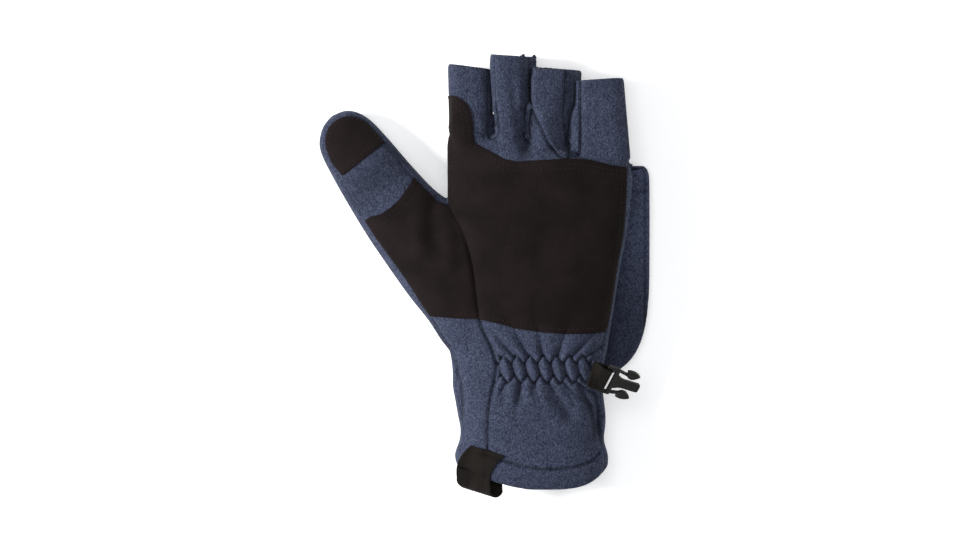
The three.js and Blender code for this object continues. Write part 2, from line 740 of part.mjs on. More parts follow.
// A ribbon of webbing: rows of points on its middle surface and the unit normals there
function ribbon(rows, thickness) {
  const wide = rows[0].length;
  const points = [];
  for (const side of [1, -1])
    for (const row of rows)
      for (const { at, normal } of row)
        points.push([0, 1, 2].map((k) => at[k] + (side * normal[k] * thickness) / 2));
  const place = (i, j, side) => side * rows.length * wide + i * wide + j;
  const triangles = [];
  const quad = (a, b, c, d) => triangles.push([a, b, c], [a, c, d]);
  for (let i = 0; i + 1 < rows.length; i++) {
    for (let j = 0; j + 1 < wide; j++) {
      quad(place(i, j, 0), place(i, j + 1, 0), place(i + 1, j + 1, 0), place(i + 1, j, 0));
      quad(place(i, j, 1), place(i + 1, j, 1), place(i + 1, j + 1, 1), place(i, j + 1, 1));
    }
    const last = wide - 1;
    quad(place(i + 1, 0, 0), place(i + 1, 0, 1), place(i, 0, 1), place(i, 0, 0));
    quad(place(i, last, 0), place(i, last, 1), place(i + 1, last, 1), place(i + 1, last, 0));
  }
  for (let j = 0; j + 1 < wide; j++) {
    const last = rows.length - 1;
    quad(place(0, j, 0), place(0, j, 1), place(0, j + 1, 1), place(0, j + 1, 0));
    quad(place(last, j + 1, 0), place(last, j + 1, 1), place(last, j, 1), place(last, j, 0));
  }
  return solidOf(points, triangles);
}

// The loop at the hem: down over the cuff, round the hem and back up inside
const pullTop = { across: -0.28, along: 0.109 };
function pullLoop() {
  const down = [-Math.sin(pullAngle), -Math.cos(pullAngle)];
  const aside = [Math.cos(pullAngle), -Math.sin(pullAngle)];
  const clear = seamGap + webbingThickness / 2;
  const columns = steps(-pullWidth / 2, pullWidth / 2, 5);
  const bend = (pullFold + webbingThickness + fleeceWall) / 2;
  const straight = pullDrop - bend - webbingThickness / 2;
  // The end inside the cuff is drawn in a little at its outer side
  const place = (s, v, drawnIn) => {
    const across = pullWidth / 2 - (pullWidth / 2 - v) * (1 - 0.22 * drawnIn);
    return [
      pullTop.across * knuckleWidth + down[0] * s + aside[0] * across,
      pullTop.along * handLength + down[1] * s + aside[1] * across,
    ];
  };
  const outside = (x, y) => palmHeight(x, y, clear);
  const inside = (x, y) => palmHeight(x, y, -fleeceWall - clear) - pullSlack;
  const rows = [];
  const addRow = (s, drawnIn, turn, height) =>
    rows.push(
      columns.map((v) => {
        const [x, y] = place(s, v, drawnIn);
        return { at: [x, y, height(x, y, v)], turn };
      }),
    );
  for (const s of steps(0, straight, 7)) addRow(s, 0, 0, outside);
  const foldTop = (v) => outside(...place(straight, v, 0));
  const foldFoot = (v) => Math.min(foldTop(v) - 2 * bend, inside(...place(straight, v, 1)));
  for (const turn of steps(0, Math.PI, 7).slice(1)) {
    const drawnIn = turn / Math.PI;
    const sunk = (1 - Math.cos(turn)) / 2;
    addRow(straight + bend * Math.sin(turn), drawnIn, turn, (x, y, v) =>
      foldTop(v) + (foldFoot(v) - foldTop(v)) * sunk);
  }
  for (const share of steps(0, 1, 4).slice(1))
    addRow(straight - pullTuck * share, 1, Math.PI, (x, y, v) => {
      const foot = foldFoot(v);
      return Math.min(inside(x, y), foot + (inside(x, y) - foot) * share);
    });
  return ribbon(
    rows.map((row, i) =>
      row.map(({ at, turn }, j) => {
        const before = rows[Math.max(0, i - 1)][j].at;
        const after = rows[Math.min(rows.length - 1, i + 1)][j].at;
        const along = new THREE.Vector3(...after).sub(new THREE.Vector3(...before)).normalize();
        const across = new THREE.Vector3(aside[0], aside[1], 0);
        const normal = new THREE.Vector3().crossVectors(across, along).normalize();
        if (turn === 0 && normal.z < 0) normal.negate();
        if (turn === Math.PI && normal.z > 0) normal.negate();
        return { at, normal: normal.toArray() };
      }),
    ),
    webbingThickness,
  );
}

// The strap and buckle have a frame of their own: X along the strap, Y across it, Z out of it
const strapRoot = { across: 0.275, along: 0.329 };
function strapFrame() {
  const x = strapRoot.across * knuckleWidth;
  const y = strapRoot.along * handLength;
  const turned = new THREE.Matrix4().makeRotationZ(strapAngle);
  const tilted = new THREE.Matrix4().makeRotationY(strapTilt);
  const half = strapWidth / 2;
  const cos = Math.cos(strapAngle);
  const sin = Math.sin(strapAngle);
  // How high the sewn end has to be for a point u along the strap and v across it to clear the cuff
  const needed = (u, v) =>
    palmHeight(x + u * cos - v * sin, y + u * sin + v * cos) +
    u * Math.tan(strapTilt) -
    v * Math.sin(rollAt(u));
  const heights = steps(0, half, 6).flatMap((u) => steps(-half, half, 16).map((v) => needed(u, v)));
  const lift = Math.max(...heights) + seamGap + strapFold / 2;
  return new THREE.Matrix4().makeTranslation(x, y, lift).multiply(turned).multiply(tilted);
}
const barGap = 0.3; // between the bar and the strap round it
const strapFold = buckleBar + 2 * (barGap + webbingThickness);
const strapHole = buckleBar + 2 * barGap;

// A slot shape with a round far end
function slotShape(near, far, height) {
  const shape = new THREE.Shape();
  const straight = steps(near, far - height / 2, 4);
  shape.moveTo(near, -height / 2);
  straight.slice(1).forEach((x) => shape.lineTo(x, -height / 2));
  shape.absarc(far - height / 2, 0, height / 2, -Math.PI / 2, Math.PI / 2, false);
  straight.reverse().slice(1).forEach((x) => shape.lineTo(x, height / 2));
  shape.closePath();
  return shape;
}

// The strap turns about its own length, from none where it is sewn to strapRoll at its middle
function rollAt(x) {
  return strapRoll * THREE.MathUtils.smoothstep(x, 0, strapLength / 2);
}

function rollUp(geometry) {
  const points = geometry.attributes.position;
  for (let i = 0; i < points.count; i++) {
    const roll = rollAt(points.getX(i));
    const y = points.getY(i);
    const z = points.getZ(i);
    points.setY(i, y * Math.cos(roll) - z * Math.sin(roll));
    points.setZ(i, y * Math.sin(roll) + z * Math.cos(roll));
  }
}

function strap() {
  const band = slotShape(0, strapLength, strapFold);
  band.holes.push(slotShape(strapSewn, strapLength - webbingThickness, strapHole));
  const geometry = new THREE.ExtrudeGeometry(band, {
    depth: strapWidth,
    bevelEnabled: false,
    curveSegments: 8,
  });
  // The shape is drawn along and up; it is turned so that it is extruded across
  geometry.rotateX(Math.PI / 2);
  geometry.translate(0, strapWidth / 2, 0);
  rollUp(geometry);
  return solidOfGeometry(geometry, strapFrame());
}

// Half of the middle prong, from its foot: along as a share of prongLength, width of prongWidth
const prongRows = [
  { along: -0.064, width: 1.7 },
  { along: 0.07, width: 1.5 },
  { along: 0.19, width: 1.12 },
  { along: 0.31, width: 1 },
  { along: 0.936, width: 1 },
  { along: 1, width: 0.7 },
];

// A barbed head: along as a share of barbLength from its hook, in as a share of barbWidth from
// the tongue's outer side; a round side is pulled towards the point in its middle
const barbHook = { along: -0.05, inwards: -0.045 };
const barbOuterPull = { along: 0.6, inwards: -0.34 };
const barbTip = { along: 1, inwards: 0.31 };
const barbInnerPull = { along: 0.45, inwards: 1.48 };

// The buckle's tongue: a frame that the strap is sewn round, a middle prong and two barbed arms
function buckle() {
  const frame = strapFrame().multiply(new THREE.Matrix4().makeRotationX(strapRoll));
  const barAt = strapLength - webbingThickness - barGap - buckleBar / 2;
  const crossStart = barAt + buckleBar / 2 + buckleWindow;
  const crossEnd = crossStart + buckleCross;
  const inner = strapWidth / 2 + buckleSideClearance;
  const outer = inner + buckleRail;
  const half = buckleThickness / 2;
  const flat = (shape, thickness) => {
    const geometry = new THREE.ExtrudeGeometry(shape, {
      depth: thickness,
      bevelEnabled: false,
      curveSegments: 6,
    });
    geometry.translate(0, 0, -thickness / 2);
    return solidOfGeometry(geometry, frame);
  };
  const bar = new THREE.CylinderGeometry(buckleBar / 2, buckleBar / 2, 2 * inner + buckleRail, 12);
  bar.translate(barAt, 0, 0);
  const prongSide = prongRows.map(
    (row) =>
      new THREE.Vector2(crossEnd + row.along * prongLength, (row.width * prongWidth) / 2),
  );
  const prongMirror = prongSide.map((p) => new THREE.Vector2(p.x, -p.y)).reverse();
  const pieces = [
    solidOfGeometry(bar, frame),
    block(crossStart, crossEnd, -outer, outer, -half, half, frame),
    flat(new THREE.Shape([...prongSide, ...prongMirror]), buckleThickness * prongShare),
  ];
  const railStart = barAt - buckleBar / 2 - railOverhang;
  const barb = crossEnd + prongLength - barbSetback - barbLength;
  for (const side of [1, -1]) {
    const [low, high] = [side * inner, side * outer].sort((a, b) => a - b);
    pieces.push(block(railStart, crossStart + buckleLap, low, high, -half, half, frame));
    const spot = ({ along, inwards }) => [
      barb + along * barbLength,
      side * (outer - inwards * barbWidth),
    ];
    const foot = outer - armInset;
    const neck = outer - barbInset;
    const arm = new THREE.Shape();
    arm.moveTo(crossEnd - buckleLap, side * (foot - armWidth));
    arm.lineTo(crossEnd - buckleLap, side * foot);
    arm.lineTo(barb, side * neck);
    arm.lineTo(...spot(barbHook));
    arm.quadraticCurveTo(...spot(barbOuterPull), ...spot(barbTip));
    arm.quadraticCurveTo(...spot(barbInnerPull), barb, side * (neck - armWidth));
    arm.closePath();
    pieces.push(flat(arm, buckleThickness * armShare));
  }
  return join(pieces);
}

// Materials
const material = (colour, roughness, metalness = 0) =>
  new THREE.MeshStandardMaterial({ color: colour, roughness, metalness });
const fleece = material(0x474d62, 0.95);
const suede = material(0x231d1d, 0.9);
const webbing = material(0x26221f, 0.8);
const plastic = material(0x22211f, 0.45);

const glove = new THREE.Group();
function addPiece(name, solid, finish) {
  const { vertProperties, triVerts } = solid.getMesh();
  const geometry = new THREE.BufferGeometry();
  geometry.setAttribute("position", new THREE.BufferAttribute(vertProperties, 3));
  geometry.setIndex(new THREE.BufferAttribute(triVerts, 1));
  const mesh = new THREE.Mesh(geometry, finish);
  mesh.name = name;
  glove.add(mesh);
}

addPiece("back_panel", backPanel, fleece);
addPiece("palm_panel", palmPanel, fleece);
addPiece("thumb_panel", thumbPanel, fleece);
gussets.forEach((solid, index) =>
  addPiece(`gusset_${stubs[index].name}_${stubs[index + 1].name}`, solid, fleece),
);
addPiece("palm_patch", palmPatch, suede);
addPiece("thumb_patch", thumbPatch, suede);
addPiece("thumb_tip_patch", tipPatch, suede);
addPiece("hood_hand_panel", hoodUpper, fleece);
addPiece("hood_outer_panel", hoodLower, fleece);
addPiece("cuff_pull_loop", pullLoop(), webbing);
addPiece("wrist_strap", strap(), webbing);
addPiece("buckle_tongue", buckle(), plastic);

// The origin is the middle of the underside
const bounds = new THREE.Box3().setFromObject(glove);
const middle = bounds.getCenter(new THREE.Vector3());
glove.position.set(-middle.x, -middle.y, -bounds.min.z);

export default glove;
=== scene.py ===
# %% [markdown]
# # A windproof mitten
# The mitten lies palm up on a pale floor and is seen from straight above. This script loads the
# plain construction model as a fixed frame and makes the cloth, suede, webbing and plastic around
# it. Everything is in metres, with +Y towards the fingers and +Z out of the palm.

import math

import bmesh
import bpy
import numpy as np
from mathutils import Matrix, Vector
from mathutils.bvhtree import BVHTree


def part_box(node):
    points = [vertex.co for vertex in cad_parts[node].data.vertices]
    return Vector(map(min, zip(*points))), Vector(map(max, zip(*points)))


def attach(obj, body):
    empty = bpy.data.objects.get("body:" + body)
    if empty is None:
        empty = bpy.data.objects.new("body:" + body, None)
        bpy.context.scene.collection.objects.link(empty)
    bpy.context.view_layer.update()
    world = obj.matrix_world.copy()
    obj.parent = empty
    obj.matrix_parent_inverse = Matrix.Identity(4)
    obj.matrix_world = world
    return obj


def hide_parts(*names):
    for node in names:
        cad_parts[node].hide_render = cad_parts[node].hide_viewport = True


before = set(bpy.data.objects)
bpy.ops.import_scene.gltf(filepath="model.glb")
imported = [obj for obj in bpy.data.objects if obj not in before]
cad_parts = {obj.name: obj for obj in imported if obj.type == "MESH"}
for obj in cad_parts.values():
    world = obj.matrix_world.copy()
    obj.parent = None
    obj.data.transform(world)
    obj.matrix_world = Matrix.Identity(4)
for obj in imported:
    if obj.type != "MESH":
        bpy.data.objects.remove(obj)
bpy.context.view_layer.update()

# %% [markdown]
# ## Sizes that the frame gives
# The places on the mitten are written as shares of the hand: across from its middle line in hand
# widths, and along from the hem in hand lengths. Both come from the construction model.

# %% Places on the hand
MM = 0.001
HAND_SHARE = 0.81  # length of the hand without its stubs, of the palm's panel
MIDDLE_SHARE = 0.496  # where the hand's middle line lies across the palm's panel
palm_low, palm_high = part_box("palm_panel")
hand_width = palm_high.x - palm_low.x
hand_length = (palm_high.y - palm_low.y) * HAND_SHARE
hand_x = palm_low.x + MIDDLE_SHARE * hand_width
hem_y = palm_low.y
back_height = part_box("hood_hand_panel")[1].z + 0.3 * MM
hand_thickness = 34 * MM
hem_dip = 12.4 * MM
hood_tip_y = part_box("hood_outer_panel")[0].y


def spot(across, along):
    return hand_x + across * hand_width, hem_y + along * hand_length


def smooth(start, end, value):
    share = np.clip((value - start) / (end - start), 0, 1)
    return share * share * (3 - 2 * share)


def fullness(share, power):
    return np.power(np.maximum(0, 1 - np.abs(share) ** power), 1 / power)


print("hand in mm:", round(hand_width * 1000), "by", round(hand_length * 1000))

# %% [markdown]
# ## Camera, floor and light
# The photograph looks straight down. A long lens from far away keeps the fingers and the hood at
# one scale, as a product photograph does. The floor is plain and pale, and large soft lamps light
# the cloth, a little more from the thumb's side so that its folds show.

# %% Camera
FRAME_WIDTH = 0.5575  # width of the picture on the mitten's upper side
UPPER_SIDE = 25 * MM  # height of that side above the floor
camera_data = bpy.data.cameras.new("camera")
camera_data.lens = 400
camera_data.sensor_width = 36
camera = bpy.data.objects.new("camera", camera_data)
bpy.context.scene.collection.objects.link(camera)
picture_middle = spot(-0.279, 0.61)
camera_height = FRAME_WIDTH * camera_data.lens / camera_data.sensor_width + UPPER_SIDE
camera.location = (*picture_middle, camera_height)
bpy.context.scene.camera = camera
print("camera height:", round(camera_height, 3))

# %% Floor and lamps
def link(thing):
    bpy.context.scene.collection.objects.link(thing)
    return thing


floor_bm = bmesh.new()
bmesh.ops.create_grid(floor_bm, x_segments=1, y_segments=1, size=3)
floor_mesh = bpy.data.meshes.new("floor")
floor_bm.to_mesh(floor_mesh)
floor_bm.free()
floor = link(bpy.data.objects.new("floor", floor_mesh))


def lamp(name, place, size, power):
    light = bpy.data.lights.new(name, "AREA")
    light.shape = "DISK"
    light.size = size
    light.energy = power
    thing = link(bpy.data.objects.new(name, light))
    thing.location = place
    thing.rotation_euler = (-Vector(place)).to_track_quat("-Z", "Y").to_euler()


lamp("key_light", (-1.9, 0.1, 1.3), 0.6, 76)
lamp("fill_light", (1.2, -0.6, 1.5), 1.4, 4.5)
lamp("top_light", (-0.2, 0.3, 2.3), 1.6, 16)
world = bpy.data.worlds.new("studio")
bpy.context.scene.world = world
world.use_nodes = True
world.node_tree.nodes["Background"].inputs["Color"].default_value = (0.95, 0.97, 1.0, 1)
world.node_tree.nodes["Background"].inputs["Strength"].default_value = 0.36
bpy.context.scene.view_settings.view_transform = "Standard"

# %% [markdown]
# ## Writing shaders as expressions
# A material's colour and bump are sums and products of a few patterns. A small class wraps a
# socket, so that `1 - mask * 0.5` adds the Math nodes by itself, and one method adds any other node.

# %% Shader expressions
class Value:
    """A socket in a material's tree that can be used in sums and products."""

    def __init__(self, tree, socket):
        self.tree = tree
        self.socket = socket

    def math(self, operation, *others):
        node = self.tree.nodes.new("ShaderNodeMath")
        node.operation = operation
        for place, other in enumerate((self, *others)):
            join_socket(self.tree, other, node.inputs[place])
        return Value(self.tree, node.outputs[0])

    def __add__(self, other):
        return self.math("ADD", other)

    def __sub__(self, other):
        return self.math("SUBTRACT", other)

    def __mul__(self, other):
        return self.math("MULTIPLY", other)

    def __rsub__(self, other):
        return (self * -1) + other

    __radd__ = __add__
    __rmul__ = __mul__


def join_socket(tree, given, socket):
    if isinstance(given, Value):
        tree.links.new(given.socket, socket)
    elif isinstance(given, (tuple, list)) and len(socket.default_value) == 4:
        socket.default_value = (*given[:3], 1)
    else:
        socket.default_value = given


class Shader:
    """A material whose nodes are added by one method."""

    def __init__(self, name, roughness, **constants):
        self.material = bpy.data.materials.new(name)
        self.material.use_nodes = True
        self.tree = self.material.node_tree
        self.surface = self.tree.nodes["Principled BSDF"]
        self.surface.inputs["Roughness"].default_value = roughness
        for socket, constant in constants.items():
            join_socket(self.tree, constant, self.surface.inputs[socket.replace("_", " ")])

    def node(self, kind, output=0, settings=None, stops=None, **sockets):
        made = self.tree.nodes.new("ShaderNode" + kind)
        for setting, value in (settings or {}).items():
            setattr(made, setting, value)
        for place, (at, colour) in enumerate(stops or []):
            elements = made.color_ramp.elements
            element = elements[place] if place < 2 else elements.new(at)
            element.position = at
            element.color = (*colour, 1)
        for socket, value in sockets.items():
            join_socket(self.tree, value, made.inputs[socket.replace("_", " ")])
        return Value(self.tree, made.outputs[output])

    def place(self):
        return self.node("TexCoord", "Object")

    def noise(self, size, detail=3.0, roughness=0.55, where=None):
        """Soft noise with features of about that size in metres, from 0 to 1."""
        return self.node("TexNoise", "Fac", Vector=where or self.place(), Scale=0.7 / size,
                         Detail=detail, Roughness=roughness)

    def grains(self, size, where=None):
        """Distance to scattered points, for curls, pores and nap."""
        return self.node("TexVoronoi", "Distance", Vector=where or self.place(), Scale=1 / size)

    def ramp(self, value, *stops):
        return self.node("ValToRGB", "Color", stops=stops, Fac=value)

    def mix(self, factor, colour_a, colour_b, blend="MIX"):
        node = self.tree.nodes.new("ShaderNodeMix")
        node.data_type = "RGBA"
        node.blend_type = blend
        for place, given in ((0, factor), (6, colour_a), (7, colour_b)):
            join_socket(self.tree, given, node.inputs[place])
        return Value(self.tree, node.outputs[2])

    def bump(self, height, depth, strength=1.0):
        """Makes the surface rise with height by depth metres."""
        bumped = self.node("Bump", "Normal", Height=height, Distance=depth, Strength=strength)
        self.set("Normal", bumped)

    def set(self, socket, value):
        join_socket(self.tree, value, self.surface.inputs[socket])


print("shader helpers ready")

# %% [markdown]
# ## Fleece
# Brushed fleece is a fine knit whose loops are torn open into a soft nap. Close up it is a field
# of small curls, darker between them, on a navy ground whose tone drifts over a few millimetres.
# Sheen stands for the fibre ends that catch light at the edges.

# %% Fleece finish
def fleece_material(name, ground, light, dark):
    shader = Shader(name, 0.92, Sheen_Weight=0.10, Sheen_Roughness=0.4,
                    Sheen_Tint=(0.62, 0.68, 0.86), Specular_IOR_Level=0.10)
    curls = shader.noise(0.6 * MM, detail=3.0, roughness=0.6)
    tufts = shader.grains(1.2 * MM)
    pile = shader.noise(2.4 * MM, detail=2.0)
    drift = shader.noise(9 * MM, detail=2.0)
    tone = curls * 0.5 - tufts * 0.26 + pile * 0.2 + drift * 0.1 + 0.243
    colour = shader.ramp(tone, (0.34, dark), (0.68, light), (0.52, ground))
    sunk = shader.node("Attribute", "Fac", settings={"attribute_name": "sunk"})
    # Painted light and shade in the colour: painted shade in creases and folds, and darker seams, make
    # it darker; painted light on ridges and towards the hood's mouth makes it lighter
    shader.set("Base Color", shader.mix(1.0, colour, 1 - sunk * 0.48, "MULTIPLY"))
    height = curls * 0.6 - tufts * 0.4 + pile * 0.45
    shader.bump(height, 0.95 * MM, 1.0)
    return shader.material


fleece = fleece_material("navy_fleece", (0.0345, 0.0410, 0.0690), (0.066, 0.076, 0.120),
                         (0.0150, 0.0185, 0.0335))
print("made", fleece.name)

# %% [markdown]
# ## Suede
# The grip patches are a thin suede, nearly black and warmer than the fleece. The nap is much finer
# than the fleece's and lies in faint brushed clouds, so the surface stays almost flat.

# %% Suede finish
def suede_material():
    shader = Shader("black_suede", 0.88, Sheen_Weight=0.03, Sheen_Roughness=0.5,
                    Sheen_Tint=(0.62, 0.50, 0.50), Specular_IOR_Level=0.12)
    nap = shader.noise(0.7 * MM, detail=4.0, roughness=0.7)
    cloud = shader.noise(14 * MM, detail=3.0)
    tone = nap * 0.35 + cloud * 0.75 - 0.02
    shader.set("Base Color", shader.ramp(tone, (0.35, (0.0038, 0.0022, 0.0021)),
                                         (0.72, (0.0105, 0.0062, 0.0063))))
    shader.bump(nap + cloud * 0.4, 0.28 * MM, 0.7)
    return shader.material


suede = suede_material()

# %% [markdown]
# ## Webbing, thread and plastic
# The webbing is a tight plain weave: fine ribs across its width, crossed by shallow rows along it.
# Its pattern follows the band's own UV map, which is laid out in metres. Thread is a twisted
# black polyester, and the buckle is moulded plastic with a faint grain.

# %% Webbing, thread and plastic finishes
def webbing_material():
    shader = Shader("black_webbing", 0.82, Sheen_Weight=0.02, Sheen_Roughness=0.4,
                    Sheen_Tint=(0.7, 0.66, 0.62), Specular_IOR_Level=0.12)
    band = shader.node("UVMap", "UV", settings={"uv_map": "weave"})

    def ribs(direction, pitch):
        return shader.node("TexWave", "Fac", settings={"bands_direction": direction},
                           Vector=band, Scale=math.tau / 20 / pitch)

    weave = ribs("X", 0.75 * MM) * 0.7 + ribs("Y", 1.1 * MM) * 0.5
    fuzz = shader.noise(0.5 * MM, detail=3.0)
    tone = weave * 0.6 + fuzz * 0.6
    shader.set("Base Color", shader.ramp(tone, (0.2, (0.0028, 0.0022, 0.0018)),
                                         (1.0, (0.0125, 0.0100, 0.0082))))
    shader.bump(weave + fuzz * 0.3, 0.35 * MM, 0.8)
    return shader.material


def thread_material():
    shader = Shader("black_thread", 0.75, Specular_IOR_Level=0.15)
    twist = shader.noise(0.35 * MM)
    shader.set("Base Color", shader.ramp(twist, (0.3, (0.0080, 0.0062, 0.0060)),
                                         (0.8, (0.0230, 0.0185, 0.0180))))
    shader.bump(twist, 0.1 * MM, 0.6)
    return shader.material


def plastic_material():
    shader = Shader("moulded_plastic", 0.42, Specular_IOR_Level=0.25)
    grain = shader.noise(0.4 * MM, detail=2.0)
    wear = shader.noise(5 * MM)
    shader.set("Base Color", shader.ramp(wear, (0.3, (0.0050, 0.0048, 0.0040)),
                                         (0.8, (0.0085, 0.0082, 0.0068))))
    shader.set("Roughness", grain * 0.16 + wear * 0.14 + 0.32)
    shader.bump(grain, 0.06 * MM, 0.5)
    return shader.material


def floor_material():
    shader = Shader("pale_floor", 0.9, Emission_Color=(1.0, 1.0, 1.0), Emission_Strength=0.4)
    cloud = shader.noise(0.4)
    shader.set("Base Color", shader.ramp(cloud, (0.2, (0.90, 0.90, 0.90)), (0.8, (0.92, 0.92, 0.92))))
    return shader.material


webbing = webbing_material()
thread = thread_material()
plastic = plastic_material()
floor.data.materials.append(floor_material())
print("finishes:", fleece.name, suede.name, webbing.name, thread.name, plastic.name)

# %% [markdown]
# ## Sections of the mitten
# The hand, the stubs, the thumb and the hood are tubes through a few sections, drawn with the same
# shares as the construction model. A smooth curve runs through each column of a table.

# %% Section tables
# Columns of a hand row: along the hand, left and right edge in hand widths, thickness of
# hand_thickness, how much of hem_dip it hangs, and how much of the knuckles' slope it takes
HAND_ROWS = np.array([
    (0.062, -0.450, 0.372, 1.02, 1.00, 0.00),
    (0.097, -0.467, 0.372, 1.10, 0.84, 0.00),
    (0.140, -0.440, 0.350, 1.12, 0.63, 0.00),
    (0.174, -0.436, 0.357, 1.12, 0.42, 0.00),
    (0.211, -0.450, 0.359, 1.12, 0.26, 0.00),
    (0.254, -0.464, 0.350, 1.08, 0.10, 0.00),
    (0.296, -0.478, 0.340, 1.00, 0.00, 0.00),
    (0.333, -0.478, 0.340, 0.96, 0.00, 0.00),
    (0.373, -0.486, 0.354, 0.95, 0.00, 0.00),
    (0.410, -0.498, 0.370, 0.96, 0.00, 0.00),
    (0.453, -0.494, 0.383, 0.99, 0.00, 0.00),
    (0.504, -0.499, 0.400, 1.00, 0.00, 0.00),
    (0.567, -0.502, 0.418, 1.00, 0.00, 0.00),
    (0.638, -0.505, 0.440, 0.985, 0.00, 0.00),
    (0.710, -0.505, 0.466, 0.97, 0.00, 0.05),
    (0.789, -0.502, 0.486, 0.94, 0.00, 0.15),
    (0.866, -0.499, 0.498, 0.88, 0.00, 0.40),
    (0.938, -0.499, 0.507, 0.80, 0.00, 0.75),
    (0.980, -0.500, 0.508, 0.66, 0.00, 1.00),
    (1.000, -0.492, 0.504, 0.44, 0.00, 1.00),
])
KNUCKLE_DROP = 15 * MM
HAND_START = HAND_ROWS[0, 0] - 0.03

# Columns of a border beside or between the stubs: its place across in hand widths at the mouths
# and at the forks, and how far it leans towards the little finger for each mm that it goes down
BORDERS = np.array([
    (-0.5055, -0.4960, 0.00),
    (-0.2711, -0.2449, 0.16),
    (-0.0370, -0.0200, 0.47),
    (0.2030, 0.1930, 0.52),
    (0.4550, 0.4980, 0.00),
])
BORDER_TOP = 1.2  # where the borders have their place at the mouths, along the hand
# Columns of a stub: left and right end of its mouth along the hand, and thickness
STUBS = {
    "index": (1.2150, 1.1980, 23 * MM),
    "middle": (1.2420, 1.2310, 24 * MM),
    "ring": (1.2050, 1.1920, 24 * MM),
    "little": (1.1630, 1.1750, 22 * MM),
}

# Columns of a thumb row: along the thumb from its root, width and sideways shift in thumb
# widths, thickness and height of the middle in thumb thicknesses, share of back_height below
THUMB_ROWS = np.array([
    (0.000, 1.00, -0.090, 0.86, 0.430, 1.25),
    (0.096, 1.14, -0.035, 0.93, 0.465, 1.20),
    (0.192, 1.25, 0.045, 0.98, 0.490, 1.13),
    (0.288, 1.28, 0.052, 1.00, 0.500, 1.03),
    (0.378, 1.23, 0.035, 0.98, 0.490, 0.88),
    (0.468, 1.17, 0.020, 0.95, 0.475, 0.72),
    (0.551, 1.07, -0.014, 0.90, 0.450, 0.57),
    (0.641, 1.00, -0.018, 0.85, 0.425, 0.40),
    (0.724, 0.945, -0.011, 0.80, 0.400, 0.25),
    (0.808, 0.886, 0.002, 0.75, 0.375, 0.12),
    (0.897, 0.795, 0.014, 0.65, 0.345, 0.05),
    (0.942, 0.676, 0.018, 0.54, 0.345, 0.05),
    (0.974, 0.480, 0.032, 0.38, 0.345, 0.05),
    (0.994, 0.230, 0.032, 0.18, 0.345, 0.05),
    (1.000, 0.020, 0.032, 0.02, 0.345, 0.05),
])
THUMB_LENGTH = 156 * MM
THUMB_WIDTH = 43.8 * MM
THUMB_THICKNESS = 30 * MM
THUMB_ANGLE = math.radians(37.5)
THUMB_ROOT = (-0.2445, 0.441)


def row_at(rows, along):
    """A row between two rows of a table, on a smooth curve through its columns."""
    i = int(np.clip(np.searchsorted(rows[:, 0], along) - 1, 0, len(rows) - 2))
    start, end = rows[i], rows[i + 1]
    before, after = rows[max(0, i - 1)], rows[min(len(rows) - 1, i + 2)]
    span = end[0] - start[0]
    t = (along - start[0]) / span
    slope_in = (end - before) / (end[0] - before[0]) * span
    slope_out = (after - start) / (after[0] - start[0]) * span
    return (start * (1 - 3 * t**2 + 2 * t**3) + end * (3 * t**2 - 2 * t**3)
            + slope_in * (t - 2 * t**2 + t**3) + slope_out * (t**3 - t**2))


def rest_height(y):
    """Where the underside lies: on the floor at the cuff, on the hood under the hand."""
    return back_height * smooth(hood_tip_y - 25 * MM, hood_tip_y + 15 * MM, y)


def section_point(turn, centre, half, under, thickness, over_power, below_power, widest, flat):
    """A point round a section: turn runs from 0 to 1, first over the palm, then under the back."""
    share = -math.cos(math.tau * turn)
    middle = under + thickness * widest
    if turn < 0.5:
        return centre + half * share, middle + (thickness * (1 - widest)) * fullness(share, over_power)
    fall = (middle - under + flat) * fullness(share, below_power)
    return centre + half * share, max(under, middle - fall)


print("tables:", len(HAND_ROWS), "hand rows,", len(THUMB_ROWS), "thumb rows")

# %% [markdown]
# ## The solid form
# Each tube starts as a flat grid whose two directions become round the tube and along it. The
# tubes overlap, and a voxel remesh makes one skin of them, which then gets its folds and is cut
# into panels.
#
# In the photograph the stubs lie side by side with no gap. They are drawn slim here, so that the
# remesh keeps them apart, and widened afterwards up to borders that two neighbours share. The
# borders lean, so that one stub lies a little over the next and nothing shows between them.

# %% Tubes from grids
def grid_sheet(around, along, place):
    """A grid of around by along faces, whose corner at (u, v) from 0 to 1 goes to place(u, v)."""
    bm = bmesh.new()
    bmesh.ops.create_grid(bm, x_segments=around, y_segments=along, size=0.5)
    for vert in bm.verts:
        vert.co = place(vert.co.x + 0.5, vert.co.y + 0.5)
    return bm


def tube(around, along, place):
    """A closed tube: the grid's two sides meet and its two ends are filled."""
    bm = grid_sheet(around, along, place)
    bmesh.ops.remove_doubles(bm, verts=bm.verts, dist=1e-6)
    bmesh.ops.holes_fill(bm, edges=[edge for edge in bm.edges if edge.is_boundary])
    bmesh.ops.recalc_face_normals(bm, faces=bm.faces)
    return bm


def hand_place(u, v):
    # The tube starts a little below the hem, where the skin is cut open later
    along = HAND_START + (1 - HAND_START) * v
    _, left, right, thickness, dip, fork = row_at(HAND_ROWS, max(along, HAND_ROWS[0, 0]))
    side_y = along * hand_length
    centre = (left + right) / 2 * hand_width
    half = (right - left) / 2 * hand_width
    x, z = section_point(u, centre, half, rest_height(hem_y + side_y), thickness * hand_thickness,
                         2.3, 3.0, 0.45, 1.5 * MM)
    share = np.clip((x - centre) / half, -1, 1)
    slope = KNUCKLE_DROP * (0.6 * share + 0.4 * share**2)
    y = side_y - dip * hem_dip * (1 - share**2) - fork * slope
    return hand_x + x, hem_y + y, z


def fork_y(x):
    """Where the line of the forks lies along the hand, for a place x across it."""
    share = (x - hand_x) / (hand_width / 2)
    return hem_y + 1.003 * hand_length - KNUCKLE_DROP * (0.6 * share + 0.4 * share**2)


